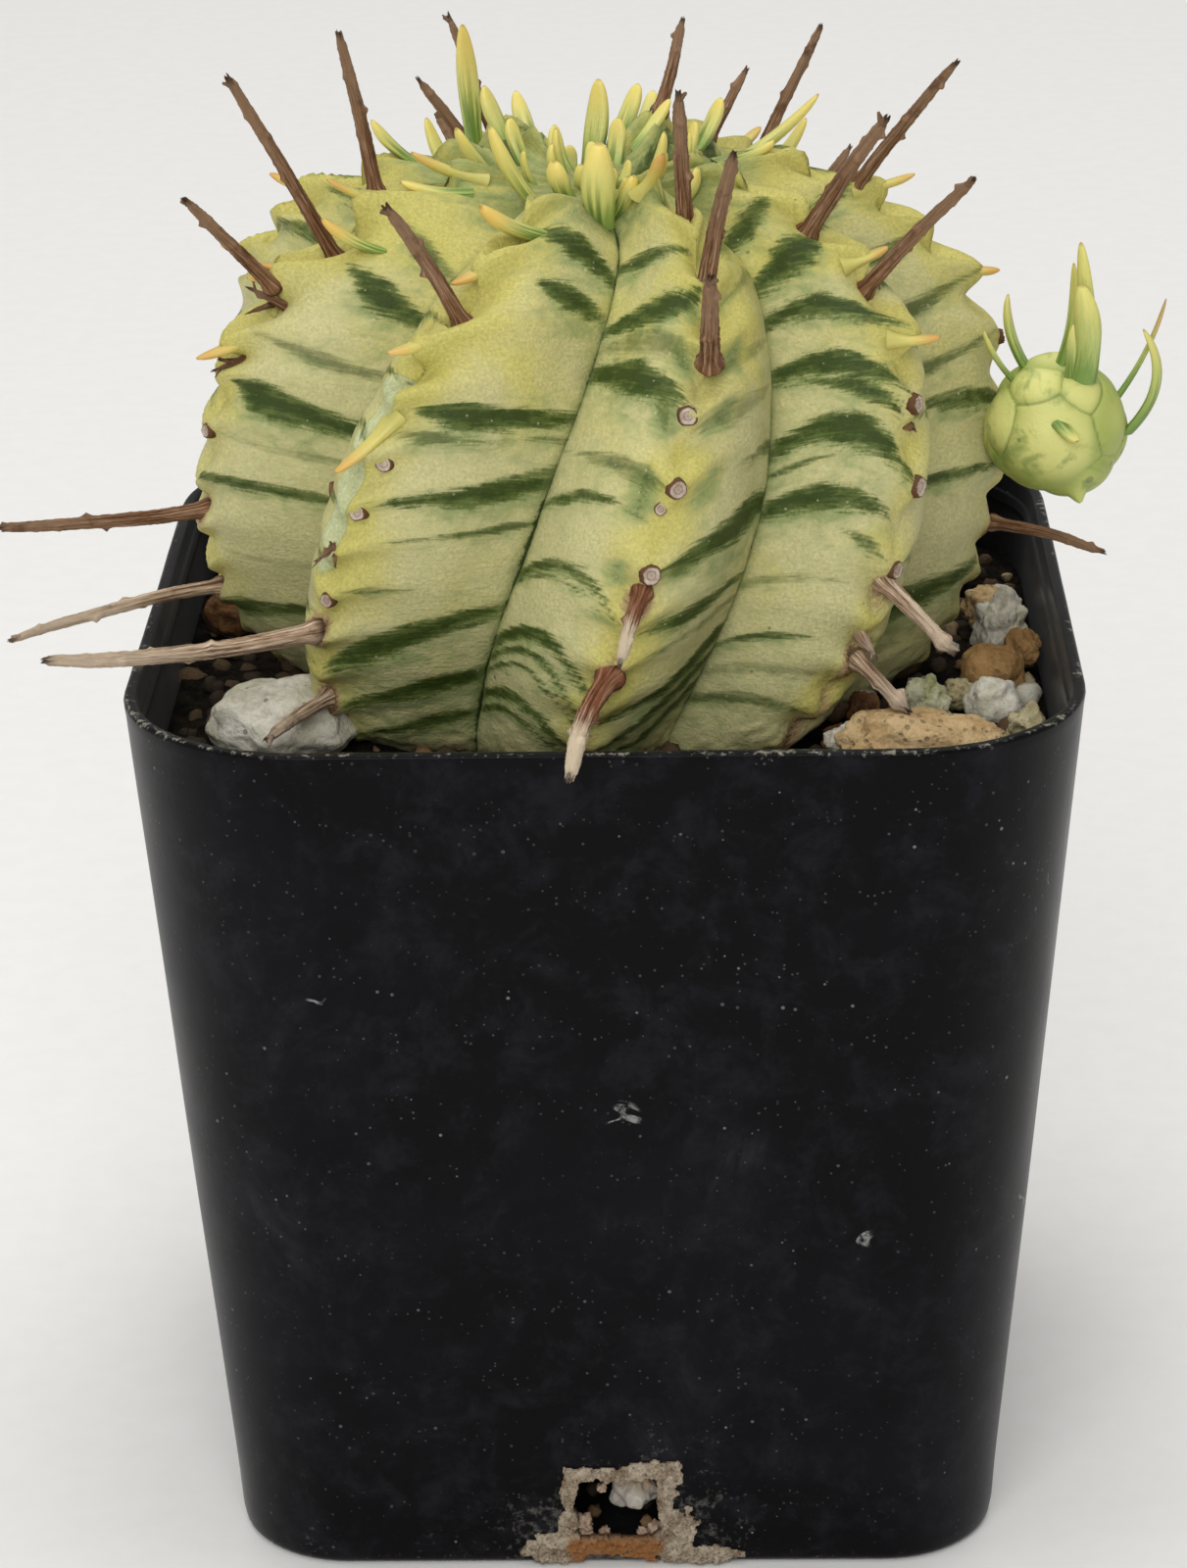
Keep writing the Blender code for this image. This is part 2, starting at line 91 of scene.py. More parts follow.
# Dark bands on the flanks that face forward. For each side of a rib: where a band meets the crest,
# the middle of the flank and the furrow, its width, its strength, and then, if it doesn't cross the
# whole flank, where it starts, where it ends and where it is thickest, from crest (0) to furrow (1).
BAND_STATIONS = (0.05, 0.55, 0.97)  # the crest, the middle of the flank and the furrow
BAND_STEEPNESS = 7.0  # plant length over half the width of a rib
WHOLE_FLANK = (0.03, 1.5, 0.7)
OUTSIDE = -2.0  # the depth of a point that is far from any band
BANDS = {
    ("front", -1): [
        (0.87, 0.875, 0.87, 0.022, 0.9), (0.81, 0.8, 0.78, 0.034, 1, 0.05, 1.1, 0.4),
        (0.735, 0.765, 0.755, 0.034, 0.4, 0.05, 1.0, 0.4),
        (0.67, 0.722, 0.727, 0.04, 1, 0.02, 1.2, 0.5), (0.575, 0.615, 0.63, 0.02, 0.55, 0.02, 0.95, 0.2),
        (0.53, 0.572, 0.562, 0.014, 0.85, 0.2, 1.2, 0.7), (0.41, 0.488, 0.468, 0.016, 0.9),
        (0.39, 0.47, 0.455, 0.007, 0.7, 0.3, 1.2, 0.8), (0.28, 0.392, 0.352, 0.02, 1),
        (0.24, 0.36, 0.325, 0.012, 0.9), (0.215, 0.335, 0.3, 0.008, 0.8), (0.18, 0.28, 0.255, 0.018, 1),
        (0.15, 0.25, 0.225, 0.012, 0.9)],
    ("front", 1): [
        (0.905, 0.93, 0.93, 0.02, 0.9), (0.86, 0.88, 0.89, 0.032, 0.45, 0.05, 1.1, 0.4),
        (0.79, 0.83, 0.84, 0.018, 0.35), (0.64, 0.68, 0.7, 0.03, 0.3, 0.05, 0.8, 0.3),
        (0.71, 0.745, 0.75, 0.018, 0.3, 0.1, 0.9, 0.3),
        (0.56, 0.605, 0.62, 0.016, 0.6, 0.4, 1.2, 0.9), (0.485, 0.53, 0.56, 0.04, 1, 0.02, 1.3, 0.6),
        (0.39, 0.437, 0.465, 0.024, 0.95, 0.1, 1.1, 0.35), (0.35, 0.4, 0.43, 0.012, 0.4),
        (0.25, 0.323, 0.39, 0.024, 1), (0.2, 0.28, 0.345, 0.02, 0.95), (0.16, 0.23, 0.3, 0.018, 0.9)],
    ("front_left", 1): [
        (0.895, 0.89, 0.85, 0.03, 1, 0.1, 1.2, 0.5), (0.85, 0.83, 0.8, 0.026, 1, 0.35, 1.0, 0.6),
        (0.66, 0.668, 0.678, 0.034, 1, 0.12, 1.3, 0.35), (0.625, 0.636, 0.645, 0.018, 0.6, 0.1, 0.6, 0.25),
        (0.6, 0.64, 0.648, 0.01, 0.6, 0.7, 1.3, 0.95), (0.54, 0.569, 0.6, 0.026, 1, 0.12, 1.3, 0.7),
        (0.56, 0.585, 0.613, 0.012, 0.8, 0.6, 1.3, 0.9), (0.49, 0.52, 0.545, 0.01, 0.75, 0.3, 1.2, 0.8),
        (0.43, 0.45, 0.49, 0.012, 0.6, 0.1, 0.45, 0.25), (0.3, 0.382, 0.425, 0.032, 1, 0.02, 1.3, 0.3),
        (0.27, 0.362, 0.41, 0.008, 0.8, 0.3, 1.2, 0.8), (0.22, 0.272, 0.31, 0.03, 1),
        (0.16, 0.2, 0.23, 0.02, 0.9)],
    ("front_left", -1): [
        (0.78, 0.785, 0.785, 0.02, 0.8), (0.7, 0.71, 0.71, 0.02, 0.8), (0.63, 0.636, 0.64, 0.02, 0.8),
        (0.53, 0.55, 0.55, 0.014, 0.8), (0.46, 0.48, 0.49, 0.015, 0.6), (0.38, 0.4, 0.42, 0.02, 0.8),
        (0.3, 0.33, 0.35, 0.02, 0.8)],
    ("left", 1): [
        (0.9, 0.87, 0.84, 0.02, 0.7, 0.3, 1.1, 0.6), (0.84, 0.803, 0.775, 0.032, 1, 0.33, 1.1, 0.6),
        (0.71, 0.7, 0.7, 0.02, 0.5, 0.1, 1.3, 0.5), (0.63, 0.625, 0.622, 0.04, 1, 0.1, 1.25, 0.3),
        (0.56, 0.57, 0.58, 0.01, 0.3), (0.505, 0.52, 0.528, 0.015, 0.95, -0.1, 1.6, 0.3),
        (0.4, 0.41, 0.42, 0.012, 0.2), (0.29, 0.32, 0.34, 0.03, 0.85, 0.0, 1.3, 0.3)],
    ("front_right", -1): [
        (0.9, 0.895, 0.88, 0.024, 0.9), (0.845, 0.838, 0.81, 0.036, 1, 0.1, 1.3, 0.4),
        (0.72, 0.775, 0.761, 0.028, 1, 0.0, 1.3, 0.45), (0.71, 0.755, 0.748, 0.008, 0.7, 0.1, 0.8, 0.3),
        (0.635, 0.7, 0.694, 0.03, 1, 0.0, 1.3, 0.5), (0.6, 0.672, 0.68, 0.02, 0.95, 0.1, 0.8, 0.35),
        (0.545, 0.618, 0.6, 0.034, 1, 0.0, 1.3, 0.45), (0.55, 0.585, 0.572, 0.008, 0.7, 0.5, 1.2, 0.8),
        (0.485, 0.54, 0.53, 0.03, 1, 0.12, 1.3, 0.6), (0.44, 0.505, 0.51, 0.012, 0.7, 0.1, 0.45, 0.25),
        (0.4, 0.44, 0.434, 0.014, 0.4, 0.3, 1.3, 0.9), (0.32, 0.36, 0.343, 0.012, 0.85, 0.3, 1.3, 0.6),
        (0.28, 0.31, 0.3, 0.018, 0.3), (0.22, 0.26, 0.25, 0.02, 0.6)],
    ("front_right", 1): [
        (0.86, 0.85, 0.84, 0.024, 0.9), (0.78, 0.76, 0.74, 0.028, 1), (0.7, 0.68, 0.66, 0.028, 1),
        (0.6, 0.59, 0.58, 0.02, 0.8), (0.52, 0.51, 0.5, 0.02, 0.8), (0.44, 0.42, 0.4, 0.02, 0.7),
        (0.33, 0.32, 0.31, 0.025, 0.8), (0.24, 0.24, 0.24, 0.02, 0.8)],
    ("right", -1): [
        (0.86, 0.86, 0.86, 0.02, 0.9), (0.78, 0.78, 0.79, 0.02, 0.8), (0.7, 0.7, 0.7, 0.026, 0.7),
        (0.61, 0.62, 0.63, 0.02, 0.6), (0.53, 0.57, 0.59, 0.02, 0.9, -0.1, 1.1, 0.4),
        (0.45, 0.48, 0.49, 0.016, 0.9), (0.33, 0.32, 0.3, 0.045, 0.9)],
}

# Small leaves and leaf stubs along the crests: rib, height along it, length, rise and swing in degrees.
SMALL_LEAVES = [
    ("right", 0.84, 3.4, 20, 0), ("front_right", 0.81, 2.4, 20, 35), ("front_right", 0.71, 2.6, 0, 20),
    ("left", 0.95, 4.5, 25, -5), ("left", 0.88, 3.6, 35, -15), ("left", 0.8, 3.2, 5, -10),
    ("left", 0.78, 2.6, 5, -10), ("left", 0.69, 3.2, -20, -5), ("front_left", 0.85, 3.2, -10, -30),
    ("front_left", 0.75, 3.2, 0, -30), ("front_left", 0.62, 3.4, -35, -30), ("front", 0.95, 3, 60, 0),
    ("back_right", 0.8, 3.4, 20, 0), ("back", 0.77, 3.2, 10, 0), ("back_left", 0.82, 3.4, 20, 0),
    ("back_left", 0.7, 2.8, 0, 0), ("back_right", 0.68, 2.8, 0, 0), ("right", 0.7, 2.4, 0, 5),
]
# Old stalk scars on the crests: rib, height along it, across it, size.
SCARS = [
    ("front", 0.66, -0.05, 0.9), ("front", 0.576, 0, 0.9),
    ("front", 0.552, -0.05, 0.6), ("front", 0.481, 0, 0.95), ("front_right", 0.616, 0.0, 0.85),
    ("front_right", 0.528, 0.02, 0.95), ("front_right", 0.431, 0.03, 0.85), ("front_left", 0.589, 0.12, 0.8),
    ("front_left", 0.532, 0.08, 0.85), ("front_left", 0.414, 0.04, 0.7), ("left", 0.56, 0.03, 0.7),
    ("right", 0.6, 0, 0.7), ("right", 0.5, 0, 0.8), ("back_right", 0.6, 0, 0.8), ("back_right", 0.45, 0, 0.8),
    ("back", 0.62, 0, 0.8), ("back", 0.5, 0, 0.7), ("back_left", 0.56, 0, 0.8), ("back_left", 0.42, 0, 0.7),
]
# Stalks at the back and dead stubs: rib, height along it, length, rise, swing, radius.
REAR_STALKS = [
    ("back_right", 0.66, 10, 25, 5, 0.6), ("back_right", 0.38, 9, -5, -5, 0.7),
    ("back", 0.7, 9, 35, 8, 0.65), ("back", 0.42, 8, 5, 0, 0.7), ("back", 0.33, 9, -15, 5, 0.6),
    ("back_left", 0.46, 6, 8, -20, 0.7), ("back_left", 0.34, 8, -10, 0, 0.65),
]
DEAD_STUBS = [
    ("left", 0.75, 2.2, 30, -20, 0.35), ("left", 0.735, 1.8, 0, 30, 0.3), ("left", 0.65, 1.6, 20, 30, 0.3),
    ("left", 0.645, 1.6, -20, -20, 0.3), ("front_left", 0.485, 2.2, -40, 40, 0.3),
    ("front_left", 0.48, 2.0, 40, 30, 0.28), ("front_left", 0.478, 1.8, -20, -30, 0.28),
    ("front_right", 0.345, 2.6, -45, 8, 0.5), ("front_right", 0.59, 1.4, 10, -40, 0.35),
]


def bell(value, width, middle=0.0):
    """1 at the middle, falling to 0 on both sides over about twice the width."""
    return np.exp(-(((value - middle) / width) ** 2))


def smooth(value, low, high):
    s = np.clip((value - low) / (high - low), 0, 1)
    return s * s * (3 - 2 * s)


def above_rim(x, y, z):
    """A point in metres, from millimetres measured from the middle of the rim."""
    return Vector((x * MM, y * MM, RIM + z * MM))


def box_of(node):
    return [np.array(corner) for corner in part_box(node)]


def add_mesh(name, vertices, faces, material, replaced=(), attributes=None):
    """Makes a piece of the object from plain arrays, with a value or a vector for each vertex."""
    mesh = bpy.data.meshes.new(name)
    mesh.from_pydata([tuple(v) for v in vertices], [], [tuple(int(i) for i in face) for face in faces])
    for label, values in (attributes or {}).items():
        values = np.asarray(values, np.float32)
        vector = values.ndim == 2
        layer = mesh.attributes.new(label, "FLOAT_VECTOR" if vector else "FLOAT", "POINT")
        layer.data.foreach_set("vector" if vector else "value", values.ravel())
    mesh.shade_smooth()
    mesh.materials.append(material)
    piece = bpy.data.objects.new(name, mesh)
    bpy.context.scene.collection.objects.link(piece)
    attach(piece, "root")
    if replaced:
        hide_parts(*replaced)
    return piece


def closed_grid(rings):
    """Vertices and faces of a skin through rings of equal length, capped by one point at each end."""
    rows, count = rings.shape[:2]
    vertices = np.vstack([rings[0].mean(0), rings.reshape(-1, 3), rings[-1].mean(0)])
    first = 1 + np.arange(count)
    after = np.roll(first, -1)
    faces = [(0, b, a) for a, b in zip(first, after)]
    row = np.arange(rows - 1)[:, None] * count
    quads = np.stack([first + row, after + row, after + row + count, first + row + count], -1)
    faces += [tuple(q) for q in quads.reshape(-1, 4)]
    top = (rows - 1) * count
    last = len(vertices) - 1
    faces += [(a + top, b + top, last) for a, b in zip(first, after)]
    return vertices, faces


def capped(values, first, last):
    """One value for each vertex of a closed grid: the rings' own, and one for each end."""
    return np.concatenate([[first], np.ravel(values), [last]])


def surface(vertices, faces):
    return BVHTree.FromPolygons([tuple(v) for v in vertices], [[int(i) for i in face] for face in faces])


# ---- node helpers and shared effects ----


class Tree:
    """Short calls for building a node tree."""

    def __init__(self, tree):
        self.tree = tree

    def add(self, kind, inputs=None, **settings):
        node = self.tree.nodes.new(kind)
        for key, value in settings.items():
            setattr(node, key, value)
        for key, value in (inputs or {}).items():
            self.feed(node.inputs[key], value)
        return node

    def feed(self, socket, value):
        if isinstance(value, bpy.types.NodeSocket):
            self.tree.links.new(value, socket)
        elif hasattr(value, "__len__") and len(value) == 3 and len(socket.default_value) == 4:
            socket.default_value = (*value, 1)
        else:
            socket.default_value = value

    def math(self, operation, a, b=0.0):
        return self.add("ShaderNodeMath", {0: a, 1: b}, operation=operation).outputs[0]

    def plus(self, total, *terms):
        for term in terms:
            total = self.math("ADD", total, term)
        return total

    def minus(self, a, b):
        return self.math("SUBTRACT", a, b)

    def times(self, a, b):
        return self.math("MULTIPLY", a, b)

    def remap(self, value, low, high, to_low=0.0, to_high=1.0):
        """A soft step from to_low to to_high, as the value goes from low to high."""
        return self.add("ShaderNodeMapRange", {"Value": value, "From Min": low, "From Max": high,
                                               "To Min": to_low,
                                               "To Max": to_high}, interpolation_type="SMOOTHSTEP").outputs[0]

    def mix(self, factor, a, b, blend="MIX"):
        node = self.add("ShaderNodeMix", data_type="RGBA", blend_type=blend)
        for socket, value in ((0, factor), (6, a), (7, b)):
            self.feed(node.inputs[socket], value)
        return node.outputs[2]

    def tint(self, under, over, value, low, high, most=1.0):
        """One colour over another, coming in as the value goes from low to high."""
        return self.mix(self.remap(value, low, high, 0, most), under, over)

    def value(self, name):
        return self.add("ShaderNodeAttribute", attribute_name=name).outputs["Fac"]

    def vector(self, name):
        return self.add("ShaderNodeAttribute", attribute_name=name).outputs["Vector"]

    def place(self):
        return self.add("ShaderNodeTexCoord").outputs["Object"]

    def stretch(self, vector, scale):
        return self.add("ShaderNodeVectorMath", {0: vector, 1: scale}, operation="MULTIPLY").outputs[0]

    def noise(self, vector, scale, detail=3.0, rough=0.55, distortion=0.0):
        return self.add("ShaderNodeTexNoise", {"Vector": vector, "Scale": scale, "Detail": detail,
                                               "Roughness": rough, "Distortion": distortion}).outputs["Fac"]

    def sway(self, *noise):
        """Noise on both sides of zero."""
        return self.minus(self.noise(*noise), 0.5)

    def cells(self, vector, scale, feature="F1"):
        return self.add("ShaderNodeTexVoronoi", {"Vector": vector, "Scale": scale}, feature=feature)

    def group(self, name, **inputs):
        node = self.add("ShaderNodeGroup", node_tree=bpy.data.node_groups[name])
        for key, value in inputs.items():
            self.feed(node.inputs[key], value)
        return node.outputs

    def specks(self, vector, scale, amount, size):
        return self.group("Specks", Vector=vector, Scale=scale, Amount=amount, Size=size)["Mask"]


def new_group(name, inputs, outputs):
    group = bpy.data.node_groups.new(name, "ShaderNodeTree")
    group.interface.new_socket("Vector", in_out="INPUT", socket_type="NodeSocketVector")
    for label, default in inputs.items():
        socket = group.interface.new_socket(label, in_out="INPUT", socket_type="NodeSocketFloat")
        socket.default_value = default
    for label in outputs:
        group.interface.new_socket(label, in_out="OUTPUT", socket_type="NodeSocketFloat")
    tree = Tree(group)
    given, out = tree.add("NodeGroupInput").outputs, tree.add("NodeGroupOutput").inputs
    return tree, out, *(given[label] for label in ["Vector", *inputs])


def make_shared_effects():
    # Specks: small round flecks of mixed size, such as dust or pores.
    tree, out, place, scale, amount, size = new_group("Specks",
                                                      {"Scale": 1000.0, "Amount": 0.3, "Size": 0.25},
                                                      ["Mask"])
    cell = tree.cells(place, scale)
    chance = tree.add("ShaderNodeSeparateColor", {0: cell.outputs["Color"]}).outputs
    inside = tree.remap(tree.minus(tree.times(chance[1], size), cell.outputs["Distance"]), 0.0, 0.06)
    tree.feed(out["Mask"], tree.times(inside, tree.math("LESS_THAN", chance[0], amount)))

    # Fibre: long streaks that run along a stalk.
    tree, out, place = new_group("Fibre", {}, ["Tone", "Height"])
    coarse = tree.noise(tree.stretch(place, (1, 1, 0.06)), 3.0, 4.0, 0.6, 0.4)
    fine = tree.noise(tree.stretch(place, (1, 1, 0.1)), 9.0, 4.0, 0.65)
    tree.feed(out["Tone"], tree.plus(tree.times(coarse, 0.65), tree.times(fine, 0.35)))
    tree.feed(out["Height"], tree.plus(tree.times(coarse, 0.5), fine))

    # Grit: the mottled, pitted surface of stone, lime and mix.
    tree, out, place, scale, pits = new_group("Grit", {"Scale": 1000.0, "Pits": 0.5},
                                              ["Tone", "Pit", "Height"])
    broad = tree.noise(place, tree.times(scale, 0.35), 5.0, 0.6, 0.3)
    fine = tree.noise(place, tree.times(scale, 3.0), 4.0, 0.7)
    pore = tree.cells(place, tree.times(scale, 1.4)).outputs["Distance"]
    pit = tree.times(tree.remap(pore, 0.34, 0.1), pits)
    tree.feed(out["Tone"], tree.plus(tree.times(broad, 0.6), tree.times(fine, 0.4)))
    tree.feed(out["Pit"], pit)
    tree.feed(out["Height"], tree.minus(tree.plus(fine, tree.times(broad, 0.5)), pit))

    # Skin grain: the fine pebbled surface of living skin.
    tree, out, place, scale = new_group("Skin grain", {"Scale": 1000.0}, ["Tone", "Height"])
    pebble = tree.cells(place, tree.times(scale, 2.6), "SMOOTH_F1").outputs["Distance"]
    tree.feed(out["Tone"], tree.noise(place, tree.times(scale, 0.25), 4.0, 0.6))
    tree.feed(out["Height"], tree.plus(tree.times(pebble, 0.7), tree.noise(place, scale, 3.0, 0.6)))


def new_material(name, roughness, specular, subsurface=0.0, sheen=0.0):
    """A material with its constants set on the shader, the shader's node and a Tree to build in."""
    material = bpy.data.materials.new(name)
    material.use_nodes = True
    shader = material.node_tree.nodes["Principled BSDF"]
    shader.inputs["Roughness"].default_value = roughness
    shader.inputs["Specular IOR Level"].default_value = specular
    shader.inputs["Sheen Weight"].default_value = sheen
    if subsurface:
        shader.inputs["Subsurface Weight"].default_value = subsurface
        shader.inputs["Subsurface Radius"].default_value = (1.0, 0.8, 0.25)
        shader.inputs["Subsurface Scale"].default_value = 1.2 * MM
    return material, shader, Tree(material.node_tree)


def finish(tree, shader, colour, height=None, distance=0.1 * MM, strength=1.0):
    """Feeds a colour and, if given, a relief of the given depth to the shader."""
    tree.feed(shader.inputs["Base Color"], colour)
    if height is not None:
        bump = tree.add("ShaderNodeBump", {"Height": height, "Distance": distance, "Strength": strength})
        tree.feed(shader.inputs["Normal"], bump.outputs[0])


# ---- materials ----

CREAM, YELLOW, MINT = (0.575, 0.54, 0.265), (0.57, 0.515, 0.145), (0.52, 0.55, 0.3)
HAZE_GREEN, BAND_GREEN, DARK_GREEN = (0.26, 0.32, 0.12), (0.085, 0.125, 0.022), (0.025, 0.045, 0.005)
CORK, CORK_DARK = (0.42, 0.28, 0.15), (0.13, 0.075, 0.035)


def plant_skin():
    material, shader, tree = new_material("plant_skin", 0.5, 0.2, subsurface=0.08)
    place, flow = tree.place(), tree.vector("flow")
    grain = tree.group("Skin grain", Vector=place, Scale=1300.0)
    stipple = tree.sway(place, 3600.0, 2.0, 0.7)
    mottle = tree.sway(place, 900.0, 4.0, 0.65, 0.5)
    broad = tree.sway(place, 110.0, 3.0, 0.55, 0.5)
    # Waxy cream, turning to yellow green along the crests and near the top.
    warm = tree.plus(tree.value("warm"), tree.times(broad, 2.0))
    colour = tree.tint(CREAM, YELLOW, warm, -0.05, 0.8)
    # Green haze, in cloudy streaks that run across the flanks.
    cloud = tree.sway(tree.stretch(flow, (0.3, 0.6, 1)), 1.0, 5.0, 0.62, 0.6)
    haze = tree.plus(tree.value("haze"), tree.times(cloud, 1.9), tree.times(stipple, 1.3),
                     tree.times(mottle, 1.1))
    colour = tree.tint(colour, HAZE_GREEN, haze, 0.15, 1.05, 0.85)
    colour = tree.tint(colour, BAND_GREEN, haze, 0.95, 1.6, 0.8)
    # A pale strip beside one crest, edged with green.
    strip = tree.plus(tree.value("mint"), tree.times(mottle, 0.5))
    colour = tree.tint(colour, HAZE_GREEN, strip, 0.25, 0.45, 0.6)
    colour = tree.tint(colour, MINT, strip, 0.35, 0.55)
    # The bands: their edges break up into fine streaks and grains, and gaps open inside them.
    streak = tree.sway(tree.stretch(flow, (0.28, 3.0, 1)), 1.0, 5.0, 0.66, 0.3)
    patch = tree.sway(tree.stretch(flow, (0.35, 1.0, 1)), 1.0, 3.0, 0.6)
    band = tree.plus(tree.value("band"), tree.times(streak, 1.9), tree.times(stipple, 0.7),
                     tree.times(patch, 0.9))
    weight = tree.value("band_strength")
    colour = tree.mix(tree.times(tree.remap(band, -0.28, 0.34, 0, 0.94), weight), colour, BAND_GREEN)
    core = tree.plus(band, tree.times(tree.plus(patch, mottle), 1.4))
    colour = tree.mix(tree.times(tree.remap(core, 0.1, 0.9, 0, 0.8), weight), colour, DARK_GREEN)
    # A thin dark line down each furrow, beaded, with a green margin.
    line = tree.plus(tree.value("furrow"), tree.times(mottle, 0.9), tree.times(stipple, 0.5))
    colour = tree.tint(colour, HAZE_GREEN, line, 1.4, 0.4, 0.45)
    colour = tree.tint(colour, (0.03, 0.06, 0.005), line, 0.55, 0.3, 0.92)
    # Fine freckles, corky crests low down, and painted shade in a dirt brown on the skin just above the mix.
    colour = tree.mix(tree.times(tree.specks(place, 700.0, 0.1, 0.16), 0.6), colour, (0.12, 0.1, 0.03))
    colour = tree.mix(tree.times(tree.specks(place, 1700.0, 0.25, 0.24), 0.3), colour, (0.7, 0.68, 0.5))
    shade = tree.remap(stipple, -0.25, 0.25, 0.84, 1.14)
    grey = tree.add("ShaderNodeCombineColor", {0: shade, 1: shade, 2: shade}).outputs[0]
    colour = tree.mix(1.0, colour, grey, "MULTIPLY")
    cork = tree.sway(tree.stretch(flow, (1.2, 3.0, 1)), 1.0, 5.0, 0.7, 0.5)
    corky = tree.plus(tree.value("cork"), tree.times(cork, 1.6))
    colour = tree.tint(colour, CORK, corky, 0.5, 0.85, 0.85)
    colour = tree.tint(colour, CORK_DARK, corky, 0.85, 1.15, 0.9)
    # Painted shade: the skin turns a dark dirt brown just above the mix, where the pot wall shades it.
    soil = tree.plus(tree.value("soiled"), tree.times(grain["Tone"], 0.5))
    colour = tree.tint(colour, (0.05, 0.04, 0.02), soil, 0.5, 1.2, 0.9)
    tree.feed(shader.inputs["Roughness"], tree.remap(grain["Tone"], 0.3, 0.7, 0.45, 0.62))
    finish(tree, shader, colour, tree.plus(grain["Height"], tree.times(corky, 0.8)), 0.08 * MM, 0.9)
    return material


def offset_skin():
    material, shader, tree = new_material("offset_skin", 0.48, 0.35, subsurface=0.15)
    place = tree.place()
    grain = tree.group("Skin grain", Vector=place, Scale=1600.0)
    # Pale on the lobes' tops and dark green elsewhere, with painted shade on the globe's right side and
    # underside.
    colour = tree.tint((0.38, 0.44, 0.11), (0.7, 0.69, 0.24), tree.value("crest"), 0.2, 1.0)
    patch = tree.noise(place, 260.0, 4.0, 0.6, 0.6)
    colour = tree.tint(colour, (0.19, 0.28, 0.06), patch, 0.5, 0.66, 0.7)
    colour = tree.tint(colour, (0.14, 0.21, 0.04), tree.value("groove"), 0.3, 1.0, 0.55)
    colour = tree.mix(tree.times(tree.specks(place, 700.0, 0.25, 0.3), 0.5), colour, (0.12, 0.16, 0.05))
    finish(tree, shader, colour, grain["Height"], 0.05 * MM, 0.7)
    return material


def leaf_skin(name, tip, middle, base, aged, stripes=0.75):
    """A leaf's colours from its base to its tip, what it ages to, and how strong its green stripes are."""
    material, shader, tree = new_material(name, 0.42, 0.45, subsurface=0.2)
    along, grain_place = tree.value("along"), tree.vector("grain")
    grain = tree.group("Skin grain", Vector=tree.place(), Scale=1500.0)
    streak = tree.noise(tree.stretch(grain_place, (1, 1, 0.12)), 3.0, 4.0, 0.6)
    shifted = tree.plus(along, tree.times(tree.minus(streak, 0.5), 0.7))
    colour = tree.tint(base, middle, shifted, 0.08, 0.55)
    colour = tree.tint(colour, tip, shifted, 0.5, 0.95)
    colour = tree.mix(tree.times(tree.value("aged"), tree.remap(shifted, 0.3, 1.0)), colour, aged)
    stripe = tree.noise(tree.stretch(grain_place, (1, 1, 0.05)), 1.6, 3.0, 0.6)
    green = tree.times(tree.remap(stripe, 0.48, 0.58), tree.remap(along, 0.8, 0.2, 0, stripes))
    colour = tree.mix(green, colour, (0.12, 0.2, 0.03))
    colour = tree.tint(colour, (0.3, 0.16, 0.05), along, 0.965, 1.0, 0.7)
    tree.feed(shader.inputs["Roughness"], tree.remap(grain["Tone"], 0.3, 0.7, 0.34, 0.55))
    finish(tree, shader, colour, tree.plus(grain["Height"], streak), 0.05 * MM, 0.6)
    return material


def dry_stalk(name, dark, mid, pale, bleach, fading=(0.25, 0.8, 0.75)):
    """Woody stalk: dark ring at the foot, fibre streaks, and a tip that fades towards bleach.

    The fading is where it starts and ends along the stalk, and how far it goes."""
    material, shader, tree = new_material(name, 0.78, 0.25)
    along = tree.value("along")
    fibre = tree.group("Fibre", Vector=tree.vector("grain"))
    colour = tree.tint(dark, mid, fibre["Tone"], 0.4, 0.5)
    colour = tree.tint(colour, pale, fibre["Tone"], 0.5, 0.6)
    colour = tree.tint(colour, bleach, tree.plus(along, tree.minus(fibre["Tone"], 0.5)), *fading)
    colour = tree.tint(colour, dark, tree.noise(tree.place(), 420.0, 4.0, 0.6), 0.56, 0.7, 0.6)
    colour = tree.tint(colour, (0.05, 0.02, 0.01), along, 0.05, 0.0, 0.75)
    colour = tree.tint(colour, (0.05, 0.028, 0.015), along, 0.95, 1.0, 0.7)
    finish(tree, shader, colour, fibre["Height"], 0.22 * MM)
    return material


def scar_tissue():
    material, shader, tree = new_material("scar_tissue", 0.75, 0.25)
    edge = tree.value("edge")
    grit = tree.group("Grit", Vector=tree.place(), Scale=2200.0, Pits=0.3)
    colour = tree.tint((0.42, 0.31, 0.24), (0.7, 0.6, 0.5), grit["Tone"], 0.35, 0.65)
    groove = tree.math("ABSOLUTE", tree.minus(edge, 0.45))
    colour = tree.tint(colour, (0.16, 0.08, 0.04), groove, 0.12, 0.03, 0.5)
    colour = tree.tint(colour, (0.13, 0.06, 0.025), edge, 0.78, 0.95)
    finish(tree, shader, colour, grit["Height"], 0.08 * MM)
    return material


def stone(name, dark, pale, stain, scale, pits):
    material, shader, tree = new_material(name, 0.88, 0.2)
    place, pit_colour = tree.place(), (0.12, 0.09, 0.06)
    grit = tree.group("Grit", Vector=place, Scale=scale, Pits=pits)
    colour = tree.tint(dark, pale, grit["Tone"], 0.38, 0.62)
    colour = tree.tint(colour, stain, tree.noise(place, 170.0, 4.0, 0.6, 0.8), 0.48, 0.68, 0.7)
    colour = tree.mix(tree.times(grit["Pit"], 0.9), colour, pit_colour)
    colour = tree.mix(tree.times(tree.specks(place, 1300.0, 0.2, 0.35), 0.6), colour, pit_colour)
    finish(tree, shader, colour, grit["Height"], 0.25 * MM)
    return material


